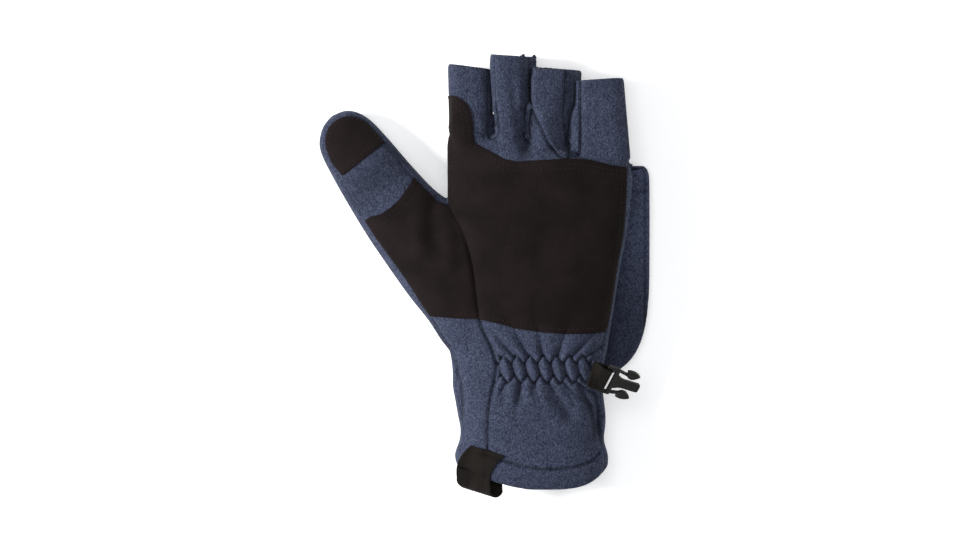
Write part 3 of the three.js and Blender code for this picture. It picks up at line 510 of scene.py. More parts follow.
STUB_SLIM = 1.5 * MM  # how much slimmer its tube is on each side than the finished stub
STUB_POWER = 2.8  # how full its section is: 2 is an ellipse
STUB_ROOT = 18 * MM  # how deep it starts inside the hand
STUB_DROOP = 4.5 * MM
STUB_OVERRUN = 2.2 * MM  # what is cut off again at its mouth
MOUTH_DIP = 0.8 * MM


def border_at(place, y):
    """Where a border lies across, for a place y along it."""
    mouth_x, root_x, _ = BORDERS[place]
    top = hem_y + BORDER_TOP * hand_length
    share = np.clip((top - y) / (top - fork_y(hand_x + root_x * hand_width)), 0, 1)
    return hand_x + (mouth_x + (root_x - mouth_x) * share) * hand_width


def stub_edges(name, y):
    """A stub's left and right edge at a place along it."""
    place = list(STUBS).index(name)
    return border_at(place, y), border_at(place + 1, y)


def mouth_along(name, x):
    """Where a stub's mouth lies along the hand at a place across it."""
    left, right = stub_edges(name, hem_y + BORDER_TOP * hand_length)
    first, last, _ = STUBS[name]
    across = np.clip((x - left) / (right - left), 0, 1)
    # The mouths dip a little at their sides, as a tube that is pressed flat does
    dip = MOUTH_DIP * np.abs(across * 2 - 1)**5
    return hem_y + (first + (last - first) * across) * hand_length - dip


def stub_place(name):
    thickness = STUBS[name][2]
    root = fork_y(sum(stub_edges(name, 0)) / 2) - STUB_ROOT

    def place(u, v):
        left, right = stub_edges(name, root + (hem_y + BORDER_TOP * hand_length - root) * v)
        middle, half = (left + right) / 2, (right - left) / 2 - STUB_SLIM
        swell = 0.86 + 0.14 * smooth(0, 0.45, v)
        thin = 0.86 + 0.13 * smooth(0, 0.35, v) - 0.09 * smooth(0.55, 1, v)
        under = back_height + 0.6 * MM - STUB_DROOP * smooth(0.25, 1.1, v)
        x, z = section_point(u, middle, half * swell, under, thickness * thin,
                             STUB_POWER, STUB_POWER, 0.5, 0)
        return x, root + (mouth_along(name, x) + STUB_OVERRUN - root) * v, z

    return place


def thumb_spot(across, along):
    """A place in plan, from across and along the thumb's own line."""
    x, y = spot(*THUMB_ROOT)
    cos, sin = math.cos(THUMB_ANGLE), math.sin(THUMB_ANGLE)
    return x + across * cos - along * sin, y + across * sin + along * cos


def thumb_place(u, v):
    along, width, aside, thickness, middle, lift = row_at(THUMB_ROWS, v)
    thick = thickness * THUMB_THICKNESS
    under = middle * THUMB_THICKNESS + lift * back_height - thick / 2
    across, z = section_point(u, aside * THUMB_WIDTH, width * THUMB_WIDTH / 2, under, thick,
                              2.2, 2.4, 0.48, 1 * MM)
    x, y = thumb_spot(across, along * THUMB_LENGTH)
    return x, y, z


WEB_SIZE = (3.5 * MM, 8 * MM, 6 * MM)
WEB_HEIGHT = 9 * MM  # above the back's height


def fork_web(across, along):
    """A small lump that closes the gap between two stubs at their fork, as a gusset's foot does."""
    bm = bmesh.new()
    place = Matrix.Translation((*spot(across, along), back_height + WEB_HEIGHT))
    bmesh.ops.create_uvsphere(bm, u_segments=16, v_segments=10, radius=1,
                              matrix=place @ Matrix.Diagonal((*WEB_SIZE, 1)))
    return bm


tubes = [tube(112, 120, hand_place), tube(72, 90, thumb_place), fork_web(-0.2550, 1.028)]
tubes += [tube(56, 40, stub_place(name)) for name in STUBS]
print("tubes:", len(tubes), "faces:", sum(len(bm.faces) for bm in tubes))

# %% One skin from the tubes
VOXEL = 1.15 * MM


def skin_of(tubes, voxel, name):
    """One closed skin round overlapping tubes."""
    mesh = bpy.data.meshes.new(name)
    whole = bmesh.new()
    for bm in tubes:
        bm.to_mesh(mesh)
        bm.free()
        whole.from_mesh(mesh)
    whole.to_mesh(mesh)
    whole.free()
    thing = link(bpy.data.objects.new(name, mesh))
    remesh = thing.modifiers.new("skin", "REMESH")
    remesh.mode = "VOXEL"
    remesh.voxel_size = voxel
    evened = thing.modifiers.new("even", "SMOOTH")
    evened.factor = 0.5
    evened.iterations = 5
    shown = thing.evaluated_get(bpy.context.evaluated_depsgraph_get())
    skin = bmesh.new()
    skin.from_mesh(bpy.data.meshes.new_from_object(shown))
    bpy.data.objects.remove(thing)
    return skin


glove = skin_of(tubes, VOXEL, "glove_skin")
print("glove skin:", len(glove.verts), "verts")

# %% [markdown]
# ## Lines on the mitten
# Seams, creases and edges are smooth curves in plan through a few chosen points, given as shares
# of the hand. One helper measures how far every point of the skin lies from such a line, and on
# which side, and the folds, the cuts and the stitches all use it.

# %% Curves in plan
def curve(points, count=60):
    """Points on a smooth curve through the chosen ones, evenly numbered."""
    chosen = np.array(points, float)
    padded = np.vstack([2 * chosen[0] - chosen[1], chosen, 2 * chosen[-1] - chosen[-2]])
    made = []
    for s in np.linspace(0, len(chosen) - 1 - 1e-9, count):
        i, t = int(s), s - int(s)
        a, b, c, d = padded[i:i + 4]
        made.append(0.5 * (2 * b + (c - a) * t + (2 * a - 5 * b + 4 * c - d) * t**2
                           + (3 * b - 3 * c + d - a) * t**3))
    return np.array(made)


def hand_line(shares, count=60):
    line = curve(shares, count)
    return np.column_stack(spot(line[:, 0], line[:, 1]))


def thumb_line(shares, count=60):
    line = curve(shares, count)
    x, y = thumb_spot(line[:, 0] * THUMB_WIDTH, line[:, 1] * THUMB_LENGTH)
    return np.column_stack([x, y])


def side_of(points, line):
    """Signed distance in plan from a line, positive to its left, and the share along it."""
    best = np.full(len(points), np.inf)
    signed = np.zeros(len(points))
    where = np.zeros(len(points))
    for i, (a, b) in enumerate(zip(line[:-1], line[1:])):
        run = b - a
        length = max(np.dot(run, run), 1e-12)
        offset = points[:, :2] - a
        t = np.clip(offset @ run / length, 0, 1)
        gap = points[:, :2] - a - t[:, None] * run
        far = np.hypot(gap[:, 0], gap[:, 1])
        turn = run[0] * offset[:, 1] - run[1] * offset[:, 0]
        nearer = far < best - 1e-9
        best[nearer] = far[nearer]
        signed[nearer] = (np.sign(turn) * far)[nearer]
        where[nearer] = ((i + t) / (len(line) - 1))[nearer]
    return signed, where


def inside_of(points, outline):
    """Signed distance in plan from a closed outline, positive inside."""
    loop = np.vstack([outline, outline[:1]])
    far = np.abs(side_of(points, loop)[0])
    inside = np.zeros(len(points), bool)
    for (ax, ay), (bx, by) in zip(loop[:-1], loop[1:]):
        crosses = (ay > points[:, 1]) != (by > points[:, 1])
        at = ax + (points[:, 1] - ay) / (by - ay if by != ay else 1e-12) * (bx - ax)
        inside ^= crosses & (points[:, 0] < at)
    return np.where(inside, far, -far)


# Seam between the thumb's panel and the palm's, from the fork of the thumb to the hem
thumb_seam = hand_line([
    (-0.640, 1.300), (-0.600, 0.960), (-0.512, 0.835), (-0.468, 0.783), (-0.424, 0.740),
    (-0.392, 0.688), (-0.367, 0.626), (-0.350, 0.557), (-0.329, 0.485), (-0.308, 0.450),
    (-0.268, 0.408), (-0.240, 0.365), (-0.241, 0.322), (-0.264, 0.270), (-0.279, 0.215),
    (-0.286, 0.125), (-0.287, -0.100),
], 90)

# Edge of the palm's suede, from the index finger round to the thumb's seam
palm_edge = hand_line([
    (-0.620, 1.122), (-0.490, 1.121), (-0.445, 1.113), (-0.412, 1.101), (-0.385, 1.080),
    (-0.370, 1.045), (-0.365, 1.008), (-0.356, 0.986), (-0.323, 0.974), (-0.257, 0.956),
    (-0.202, 0.940), (-0.137, 0.932), (-0.038, 0.934), (0.120, 0.938), (0.241, 0.936),
    (0.361, 0.924), (0.472, 0.916),
], 80)
palm_side_edge = hand_line([
    (0.472, 0.916), (0.464, 0.820), (0.449, 0.724), (0.427, 0.638), (0.411, 0.556),
    (0.379, 0.492), (0.353, 0.449),
], 30)
palm_foot = hand_line([
    (0.353, 0.449), (0.200, 0.443), (0.040, 0.447), (-0.120, 0.458), (-0.241, 0.474),
    (-0.337, 0.485), (-0.460, 0.488), (-0.640, 0.497),
], 40)
palm_outline = np.vstack([palm_edge[:-1], palm_side_edge[:-1], palm_foot,
                          hand_line([(-0.62, 0.52), (-0.62, 1.0)], 4)])

# Edges of the thumb's suede and of the patch on its tip, as shares of the thumb
thumb_edge_top = thumb_line([(-0.70, 0.598), (-0.398, 0.618), (-0.216, 0.600), (0.03, 0.600),
                             (0.25, 0.617), (0.5, 0.640), (0.9, 0.62)], 50)
tip_edge = thumb_line([(-0.314, 0.800), (-0.318, 0.835), (-0.305, 0.875), (-0.228, 0.933),
                       (-0.093, 0.965), (0.065, 0.974), (0.235, 0.959), (0.326, 0.929),
                       (0.375, 0.880), (0.400, 0.803)], 60)
print("seam and edge lines ready")

# %% [markdown]
# ## Cutting the skin into panels
# A pattern cutter's line is any function that changes sign across it. Edges that the line crosses
# get a point exactly there, and the new points are joined, so that the cut is smooth whatever way
# the mesh runs. A panel is then the faces on one side.

# %% Cutting along a field
def cut(bm, field):
    """Splits faces along the line where field, a function of the points, is zero."""
    values = field(points_of(bm))
    bm.verts.index_update()
    crossed = [edge for edge in bm.edges
               if values[edge.verts[0].index] * values[edge.verts[1].index] < 0]
    shares = {edge: float(np.clip(abs(values[edge.verts[0].index])
                                  / (abs(values[edge.verts[0].index])
                                     + abs(values[edge.verts[1].index])), 0.08, 0.92))
              for edge in crossed}
    made = bmesh.ops.bisect_edges(bm, edges=crossed, cuts=1, edge_percents=shares)
    new = [piece for piece in made["geom_split"] if isinstance(piece, bmesh.types.BMVert)]
    bmesh.ops.connect_verts(bm, verts=new)


def keep(bm, field):
    """Deletes the faces whose middle lies where field is negative."""
    middles = np.array([face.calc_center_median() for face in bm.faces])
    values = field(middles)
    drop = [face for face, value in zip(bm.faces, values) if value < 0]
    bmesh.ops.delete(bm, geom=drop, context="FACES")


def mouths(points):
    """Positive where cloth is, negative past the hem and past the stubs' mouths."""
    x, y = points[:, 0], points[:, 1]
    _, left, right, _, _, _ = HAND_ROWS[0]
    share = np.clip(((x - hand_x) / hand_width - (left + right) / 2) / ((right - left) / 2), -1, 1)
    droop = 1 - np.abs(share) ** np.where(share > 0, 4.5, 1.6)
    value = y - (hem_y + HAND_ROWS[0, 0] * hand_length - 1.03 * hem_dip * droop)
    end = np.full(len(x), 1.0)
    for name in STUBS:
        left, right = stub_edges(name, y)
        own = (x > left - 0.4 * MM) & (x < right + 0.4 * MM)
        end = np.where(own, mouth_along(name, x), end)
    return np.minimum(value, end - y)


# %% [markdown]
# ## Folds
# The wrist is drawn in by two rows of elastic. Above, between and below them the cloth stands in
# soft ridges that meet like a plait: a ridge ends in a point between the two points of the next
# zone, so each row of elastic lies in a crease that zigzags from point to point.
#
# The other folds are creases and swells along lines that the photograph shows, at the knuckles,
# in the suede and down the cuff.

# %% Gathers at the wrist
GATHER_PITCH = 7.4 * MM
GATHER_HEIGHT = 3.4 * MM
ZIGZAG = 1.7 * MM
CLOTH_LEVEL = 0.62  # height of the plain cloth between a ridge's top, 1, and its valley, 0
ELASTIC_WIDTH = 1.3 * MM
# Place of one ridge above, between and below the rows of elastic, from the hand's middle line
UPPER_RIDGE, MIDDLE_RIDGE, LOWER_RIDGE = -16.7 * MM, -20.6 * MM, -22.0 * MM
upper_row = spot(0, 0.3700)[1]
lower_row = spot(0, 0.3130)[1]


def ridges(x, first):
    """Round ridges at first and every pitch from it: 1 on top, 0 in the sharp valleys between."""
    return np.abs(np.cos(math.pi * (x - first) / GATHER_PITCH)) ** 0.72


def gather_height(points):
    x = points[:, 0] - hand_x
    y = points[:, 1]
    up = np.maximum(0, y - upper_row)
    down = np.maximum(0, lower_row - y)
    # Above and below the rows the ridges spread out like a fan
    fan_up = np.where(x > 5 * MM, 0.085, 0.052) / MM
    x_up = 5 * MM + (x - 5 * MM) / (1 + fan_up * up)
    x_down = -8 * MM + (x + 8 * MM) / (1 + 0.053 / MM * down)
    between = np.clip((y - lower_row) / (upper_row - lower_row), -0.2, 1.2)
    x_mid = x - 2.7 * MM * (1 - between)
    upper = ridges(x_up, UPPER_RIDGE)
    middle = ridges(x_mid, MIDDLE_RIDGE)
    lower = ridges(x_down, LOWER_RIDGE)
    # The two creases zigzag between the ridges' ends
    from_upper = y - upper_row + ZIGZAG * np.cos(math.tau * (x - UPPER_RIDGE) / GATHER_PITCH)
    from_lower = y - lower_row - ZIGZAG * np.cos(math.tau * (x - LOWER_RIDGE) / GATHER_PITCH)
    fade_up = np.exp(-((up / (16 * MM)) ** 1.5))
    fade_down = np.exp(-((down / (11 * MM)) ** 1.1))
    above = upper * fade_up + CLOTH_LEVEL * (1 - fade_up)
    below = lower * fade_down + CLOTH_LEVEL * (1 - fade_down)
    ridge = np.where(from_upper > 0, above, np.where(from_lower > 0, middle, below))
    seam = sum(np.exp(-((far / ELASTIC_WIDTH) ** 2)) for far in (from_upper, from_lower))
    height = ridge - CLOTH_LEVEL - CLOTH_LEVEL * np.minimum(seam, 1)
    start = spot(-0.245, 0)[0]
    end = spot(0.290, 0)[0] + 0.5 * up + 0.15 * down
    sides = smooth(start - 1.5 * MM, start + 3 * MM, points[:, 0])
    sides = sides * (1 - smooth(end - 3 * MM, end + 5 * MM, points[:, 0]))
    return GATHER_HEIGHT * sides * height


# %% Creases and swells
def crease(points, line, depth, width, ends):
    """A groove along a line in plan, fading at its ends. A negative depth raises a ridge."""
    far, where = side_of(points, line)
    fade = smooth(0, ends, where) * (1 - smooth(1 - ends, 1, where)) if ends else 1
    return -depth * np.exp(-((far / width) ** 2)) * fade


def step(points, line, height, width, ends):
    """The cloth on the line's left stands higher, falling off over width."""
    far, where = side_of(points, line)
    fade = smooth(0, ends, where) * (1 - smooth(1 - ends, 1, where))
    return height * fade * smooth(-0.8 * MM, 0.8 * MM, far) * np.exp(-np.maximum(far, 0) / width)


def swell(points, across, along, radius_x, radius_y, height, lean):
    """A soft rise, or a dent where height is negative, lean radians from the hand's line."""
    x, y = spot(across, along)
    dx, dy = points[:, 0] - x, points[:, 1] - y
    u = dx * math.cos(lean) + dy * math.sin(lean)
    v = -dx * math.sin(lean) + dy * math.cos(lean)
    return height * np.exp(-((u / radius_x) ** 2) - (v / radius_y) ** 2)


# Front edge of the ring stub's own panel, which sweeps down to the little finger's fork
ring_seam = hand_line([(-0.052, 1.206), (-0.052, 1.137), (-0.044, 1.086), (-0.016, 1.052),
                       (0.011, 1.023), (0.044, 0.989), (0.088, 0.960), (0.131, 0.943),
                       (0.150, 0.943), (0.160, 0.960)], 60)
ring_side_seam = hand_line([(0.142, 1.206), (0.137, 1.137), (0.128, 1.080), (0.131, 1.037),
                            (0.148, 0.980), (0.160, 0.958)], 50)
ring_side_strip = hand_line([(0.165, 1.185), (0.163, 1.137), (0.160, 1.060), (0.160, 0.990)], 30)
little_seam = hand_line([(0.218, 1.180), (0.219, 1.080), (0.221, 1.000), (0.219, 0.968),
                         (0.208, 0.955), (0.190, 0.957)], 50)
index_gusset_seam = hand_line([(-0.286, 1.225), (-0.286, 1.080), (-0.286, 1.030),
                               (-0.279, 1.006), (-0.262, 0.997), (-0.240, 1.003),
                               (-0.226, 1.022), (-0.232, 1.060), (-0.245, 1.110)], 60)

# Stitch line of the hem, under the loop and round to the cuff's right side
hem_line = hand_line([(-0.330, 0.106), (-0.206, 0.0826), (-0.146, 0.0721), (-0.044, 0.0604),
                      (0.050, 0.0570), (0.176, 0.0627), (0.259, 0.0741), (0.303, 0.0900),
                      (0.334, 0.1129)], 50)

# Folds that run from the gathers down the cuff, the deepest along its right side: line, depth
# and half width
CUFF_FOLDS = [
    (hand_line([(0.194, 0.305), (0.235, 0.272), (0.266, 0.239), (0.287, 0.201), (0.299, 0.163),
                (0.295, 0.125)], 30), 3.2 * MM, 2.4 * MM),
    (hand_line([(0.271, 0.301), (0.299, 0.264), (0.315, 0.226), (0.323, 0.184), (0.335, 0.147),
                (0.344, 0.121)], 30), 3.0 * MM, 1.7 * MM),
    (hand_line([(0.000, 0.302), (0.081, 0.259), (0.145, 0.218), (0.170, 0.180)], 30),
     2.4 * MM, 4.2 * MM),
    (hand_line([(0.105, 0.301), (0.170, 0.259), (0.210, 0.222)], 20), 1.3 * MM, 2.2 * MM),
    (hand_line([(-0.040, 0.301), (-0.040, 0.260)], 10), 1.2 * MM, 1.8 * MM),
    (hand_line([(-0.105, 0.301), (-0.108, 0.270), (-0.113, 0.228)], 20), 1.8 * MM, 2.2 * MM),
    (hand_line([(-0.178, 0.301), (-0.202, 0.259), (-0.215, 0.225)], 20), 1.2 * MM, 2.0 * MM),
]
# Seam between the palm's side and the back, where it shows beside the cuff and the little finger
cuff_side_line = hand_line([(-0.600, 0.490), (-0.557, 0.447), (-0.485, 0.385), (-0.444, 0.322),
                            (-0.424, 0.276), (-0.424, 0.218), (-0.441, 0.190)], 40)
little_side_line = hand_line([(0.459, 1.120), (0.464, 1.066), (0.476, 1.018), (0.487, 0.962),
                              (0.491, 0.913)], 30)
fork_valley = hand_line([(-0.060, 1.110), (-0.052, 1.065), (-0.050, 1.030), (-0.066, 0.985),
                         (-0.090, 0.935)], 30)
# Where painted shade marks the hole at the index finger's fork
fork_hole = hand_line([(-0.250, 1.050), (-0.248, 1.030)], 4)
middle_side_line = hand_line([(-0.058, 1.260), (-0.057, 1.100)], 10)
# Where a broad band of painted shade lies across the thumb
thumb_band = thumb_line([(-0.500, 0.715), (0.500, 0.715)], 10)

# Creases: line, depth, half width and the share of its length over which it fades at each end.
# A negative depth is a ridge.
CREASES = [
    (ring_seam, 1.5 * MM, 0.9 * MM, 0.02), (ring_side_seam, 0.9 * MM, 0.9 * MM, 0.02),
    (little_seam, 1.0 * MM, 0.9 * MM, 0.02), (index_gusset_seam, 1.0 * MM, 0.9 * MM, 0.02),
    (ring_side_strip, 1.3 * MM, 1.8 * MM, 0.1), (fork_valley, 4.2 * MM, 4.0 * MM, 0.2),
    # Soft folds of the thumb's suede
    (hand_line([(-0.640, 0.870), (-0.660, 0.760), (-0.640, 0.640)], 20), -1.2 * MM, 4.5 * MM, 0.3),
    (hand_line([(-0.560, 0.850), (-0.585, 0.760), (-0.560, 0.660)], 20), 1.5 * MM, 4.5 * MM, 0.3),
    (hand_line([(-0.500, 0.770), (-0.500, 0.680), (-0.480, 0.600)], 20), -1.3 * MM, 4.5 * MM, 0.3),
    (hem_line, 1.5 * MM, 0.9 * MM, 0.02),
    # Folds above the strap, from the patch's corner to the wrist
    (hand_line([(0.375, 0.470), (0.345, 0.420), (0.300, 0.385)], 20), 1.4 * MM, 1.8 * MM, 0.25),
    (hand_line([(0.330, 0.430), (0.285, 0.395), (0.262, 0.378)], 20), 1.2 * MM, 1.7 * MM, 0.3),
    (cuff_side_line, 1.6 * MM, 1.7 * MM, 0.2),
]
CREASES += [(line, depth, width, 0.3) for line, depth, width in CUFF_FOLDS]
# Swells, and dents where the height is negative: place across and along, radius both ways,
# height and lean. Five are at the fingers' roots, then come the palm and the cuff.
SWELLS = [
    (0.030, 0.965, 7 * MM, 8 * MM, 1.2 * MM, 0.4), (-0.170, 0.985, 9 * MM, 14 * MM, 1.3 * MM, 0),
    (-0.140, 1.110, 2.6 * MM, 15 * MM, -1.3 * MM, 0.12),
    (-0.075, 1.120, 2.4 * MM, 13 * MM, -1.0 * MM, -0.15),
    (0.330, 0.985, 14 * MM, 5 * MM, -1.2 * MM, -0.25),
    (-0.300, 0.800, 16 * MM, 14 * MM, 1.0 * MM, 0), (0.120, 0.700, 26 * MM, 20 * MM, -0.8 * MM, 0),
    (-0.335, 0.230, 5 * MM, 24 * MM, 0.9 * MM, 0.03),
]

# Darker stitched seams, and painted shade on the nap: line, strength and half width
# The cuff's folds, the fork's valley and hole, and the thumb's band carry painted shade
DARK_LINES = [
    (ring_seam, 0.55, 0.8 * MM), (ring_side_seam, 0.5, 0.8 * MM), (little_seam, 0.5, 0.8 * MM),
    (index_gusset_seam, 0.5, 0.8 * MM), (hem_line, 0.6, 0.8 * MM), (middle_side_line, 0.6, 1.0 * MM),
    (CUFF_FOLDS[0][0], 0.7, 1.8 * MM), (CUFF_FOLDS[1][0], 0.7, 1.3 * MM),
    (CUFF_FOLDS[2][0], 0.3, 3.6 * MM),
    (cuff_side_line, 0.6, 1.2 * MM), (little_side_line, 0.7, 0.8 * MM),
    (fork_valley, 0.4, 3.0 * MM), (fork_hole, 1.6, 1.0 * MM), (thumb_band, 0.7, 12 * MM),
]


def folds(points):
    """How far the palm side stands above the plain form."""
    rise = gather_height(points)
    below_wrist = 1 - smooth(spot(0, 0.20)[1], spot(0, 0.33)[1], points[:, 1])
    rise += crease(points, thumb_seam, 1.4 * MM, 1.4 * MM, 0) * (1 - 0.5 * below_wrist)
    # The ring finger's own panel lies over its neighbours
    rise += step(points, ring_seam, 3.0 * MM, 8 * MM, 0.04)
    for line, depth, width, ends in CREASES:
        rise += crease(points, line, depth, width, ends)
    for across, along, radius_x, radius_y, height, lean in SWELLS:
        rise += swell(points, across, along, radius_x, radius_y, height, lean)
    return rise


def points_of(bm):
    return np.array([vert.co for vert in bm.verts])


STUB_SLIT = 0.25 * MM  # what stays open between two stubs
GROW_START = 9 * MM  # below the forks, where the stubs start to widen
GROW_END = 3 * MM  # below the forks, where they have their full width
STATION = 2.5 * MM


def reach_of(share, own, y):
    """How far a slim stub reaches to its left and right, place by place along it."""
    found = []
    for station in np.arange(spot(0, 0.93)[1], spot(0, 1.25)[1], STATION):
        near = own & (np.abs(y - station) < 2 * MM)
        if near.sum() > 40:
            found.append((station, -np.quantile(share[near], 0.05), np.quantile(share[near], 0.95)))
    stations, left, right = np.array(found).T
    return np.interp(y, stations, left), np.interp(y, stations, right)


def middle_height(grow, y, z):
    """Half way up the stubs, place by place along them."""
    stations = np.arange(spot(0, 1.02)[1], spot(0, 1.22)[1], STATION)
    near = [z[(grow == 1) & (np.abs(y - station) < 2 * MM)] for station in stations]
    return np.interp(y, stations, [(heights.min() + heights.max()) / 2 for heights in near])


def widen_stubs(bm):
    """Gives the stubs their full width. Their borders lean, so that no gap shows between them."""
    points = points_of(bm)
    x, y, z = points.T.copy()
    grow = smooth(fork_y(x) - GROW_START, fork_y(x) - GROW_END, y)
    above = z - middle_height(grow, y, z)
    for place, name in enumerate(STUBS):
        left, right = stub_edges(name, y)
        share = (x - (left + right) / 2) / ((right - left) / 2)
        own = np.abs(share) < 1.06
        reach_left, reach_right = reach_of(share, own, y)
        share = np.clip(np.where(share < 0, share / reach_left, share / reach_right), -1, 1)
        left = left - BORDERS[place, 2] * above
        right = right - BORDERS[place + 1, 2] * above
        full = (left + right) / 2 + share * ((right - left) / 2 - STUB_SLIT / 2)
        points[:, 0] = np.where(own, x + (full - x) * grow, points[:, 0])
    for vert, point in zip(bm.verts, points):
        vert.co = point


WRAP_PRESS = 0.9 * MM  # how far the suede presses the index stub's side in


def fold_cloth(bm):
    """Moves the palm side's points up and down by the folds."""
    bm.normal_update()
    points = points_of(bm)
    facing = np.array([vert.normal.z for vert in bm.verts])
    rise = folds(points) * smooth(0.05, 0.75, facing)
    # The index's side is pressed in by the suede that wraps round it
    along = (points[:, 1] - hem_y) / hand_length
    wrapped = smooth(0, 1.5 * MM, inside_of(points, palm_outline)) * smooth(1.00, 1.06, along)
    press = WRAP_PRESS * wrapped * (1 - smooth(0.4, 0.8, np.abs(facing))) * (points[:, 0] < hand_x)
    for vert, lift, inwards in zip(bm.verts, rise, press):
        vert.co -= vert.normal * float(inwards)
        vert.co.z += lift


def refine(bm, low, high):
    """Halves the palm side's edges between two places along the hand."""
    bm.normal_update()
    near = [edge for edge in bm.edges
            if all(low < vert.co.y < high and vert.normal.z > 0.1 for vert in edge.verts)]
    bmesh.ops.subdivide_edges(bm, edges=near, cuts=1, use_grid_fill=True)


SHADE_DEPTH = 1.35 * MM  # this far below its surroundings the painted shade is darkest


def paint_shade_and_seams(bm, rounds=24):
    """Notes on every point how far it lies below the cloth around it, as painted shade in hollows and
    painted light on ridges, and adds the dark lines.
    """
    bm.normal_update()
    bm.verts.index_update()
    height = np.array([vert.co.z for vert in bm.verts])
    facing = np.array([vert.normal.z for vert in bm.verts])
    ends = np.array([[vert.index for vert in edge.verts] for edge in bm.edges])
    count = np.maximum(np.bincount(ends.ravel(), minlength=len(height)), 1)
    around = height.copy()
    for _ in range(rounds):
        near = np.bincount(ends[:, 0], around[ends[:, 1]], len(height))
        near += np.bincount(ends[:, 1], around[ends[:, 0]], len(height))
        around = (around + near / count) / 2
    # Painted shade in hollows, and a little painted light on ridges
    sunk = np.clip((around - height) / SHADE_DEPTH, -0.35, 1) * smooth(0.1, 0.5, facing)
    points = points_of(bm)
    # Darker stitched seams, and painted shade along folds, in the fork's hole and over the thumb's
    # band
    for line, strength, width in DARK_LINES:
        sunk += crease(points, line, -strength, width, 0.06) * smooth(-0.1, 0.1, facing)
    layer = bm.verts.layers.float.new("sunk")
    for vert, value in zip(bm.verts, sunk):
        vert[layer] = value


cut(glove, mouths)
keep(glove, mouths)
widen_stubs(glove)
refine(glove, spot(0, 0.20)[1], spot(0, 0.46)[1])
refine(glove, spot(0, 0.93)[1], spot(0, 1.30)[1])
fold_cloth(glove)
bmesh.ops.smooth_vert(glove, verts=glove.verts, factor=0.35, use_axis_x=True, use_axis_y=True,
                      use_axis_z=True)
paint_shade_and_seams(glove)
print("folded skin:", len(glove.verts), "verts")

# %% [markdown]
# ## Seams and rims
# A seam is where two panels turn in and meet. Each panel's rim is rolled in, and the seam between
# the palm's side and the back runs along the hand's edge, a little above its middle.

# %% Rolled rims and the side seam
def roll_rim(bm, depth, width):
    """Turns the free edge of a sheet down by depth, easing back to nothing over width."""
    bm.normal_update()
    rim = [vert for vert in bm.verts if vert.is_boundary]
    near = {vert: 0.0 for vert in rim}
    front = rim
    while front:
        reached = []
        for vert in front:
            for edge in vert.link_edges:
                other = edge.other_vert(vert)
                far = near[vert] + edge.calc_length()
                if far < width and far < near.get(other, width):
                    near[other] = far
                    reached.append(other)
        front = reached
    moves = {vert: vert.normal * (depth * (1 - far / width) ** 2) for vert, far in near.items()}
    for vert, move in moves.items():
        # At the fingers' mouths a rim only sinks back, so that the mouths stay even
        if vert.co.y > spot(0, 1.1)[1]:
            move.y = max(move.y, 0)
        vert.co -= move


def seam_height(points):
    """Height of the seam between the palm side and the back, as the hand's edge goes."""
    x, y = points[:, 0], points[:, 1]
    along = np.clip((y - hem_y) / hand_length, HAND_ROWS[0, 0], 1)
    thickness = np.interp(along, HAND_ROWS[:, 0], HAND_ROWS[:, 3]) * hand_thickness
    side = rest_height(y) + thickness * 0.65
    stub = back_height + 10.2 * MM - 4 * MM * smooth(1.03, 1.18, (y - hem_y) / hand_length)
    hand = side + (stub - side) * smooth(0.76, 0.86, (y - hem_y) / hand_length)
    root_x, root_y = spot(*THUMB_ROOT)
    run = (-(x - root_x) * math.sin(THUMB_ANGLE) + (y - root_y) * math.cos(THUMB_ANGLE))
    run = np.clip(run / THUMB_LENGTH, 0, 0.897)
    thick = np.interp(run, THUMB_ROWS[:, 0], THUMB_ROWS[:, 3]) * THUMB_THICKNESS
    middle = np.interp(run, THUMB_ROWS[:, 0], THUMB_ROWS[:, 4]) * THUMB_THICKNESS
    lift = np.interp(run, THUMB_ROWS[:, 0], THUMB_ROWS[:, 5]) * back_height
    thumb = middle + lift + 0.30 * thick
    outward = smooth(hand_width * 0.275, hand_width * 0.625, hand_x - x) * smooth(0.1, 0.4, run)
    return hand + (thumb - hand) * outward


def front(points):
    return points[:, 2] - seam_height(points)


def palm_side(points):
    return side_of(points, thumb_seam)[0]

# %% [markdown]
# ## Fleece panels
# The gussets are the strips between two stubs. Seen from the palm each ends in a small U at the
# fork. The thumb seam parts the palm from the thumb, and the side seam parts both from the back.

# %% Panels of fleece
FLEECE_WALL = 2.2 * MM
GUSSETS = {
    "gusset_index_middle": [(-0.286, 1.300), (-0.286, 1.080), (-0.286, 1.030), (-0.279, 1.006),
                            (-0.262, 0.997), (-0.240, 1.003), (-0.226, 1.022), (-0.232, 1.060),
                            (-0.245, 1.110), (-0.256, 1.300)],
    "gusset_middle_ring": [(-0.056, 1.300), (-0.052, 1.137), (-0.044, 1.086), (-0.022, 1.056),
                           (-0.016, 1.034), (-0.026, 1.022), (-0.040, 1.040), (-0.050, 1.080),
                           (-0.060, 1.137), (-0.060, 1.300)],
    "gusset_ring_little": [(0.142, 1.300), (0.137, 1.137), (0.128, 1.080), (0.131, 1.037),
                           (0.148, 0.985), (0.160, 0.956), (0.190, 0.948), (0.214, 0.955),
                           (0.221, 0.985), (0.221, 1.080), (0.219, 1.300)],
}
GUSSET_FOOT = back_height + 4.5 * MM
# Under the ring finger's overhang the gusset ends below the palm's side
GUSSET_TOPS = {"gusset_middle_ring": back_height + 13 * MM}


def gusset_field(name):
    outline = hand_line(GUSSETS[name], 50)

    def field(points):
        inside = np.minimum(inside_of(points, outline), points[:, 2] - GUSSET_FOOT)
        return np.minimum(inside, GUSSET_TOPS.get(name, math.inf) - points[:, 2])

    return field


gusset_fields = {name: gusset_field(name) for name in GUSSETS}


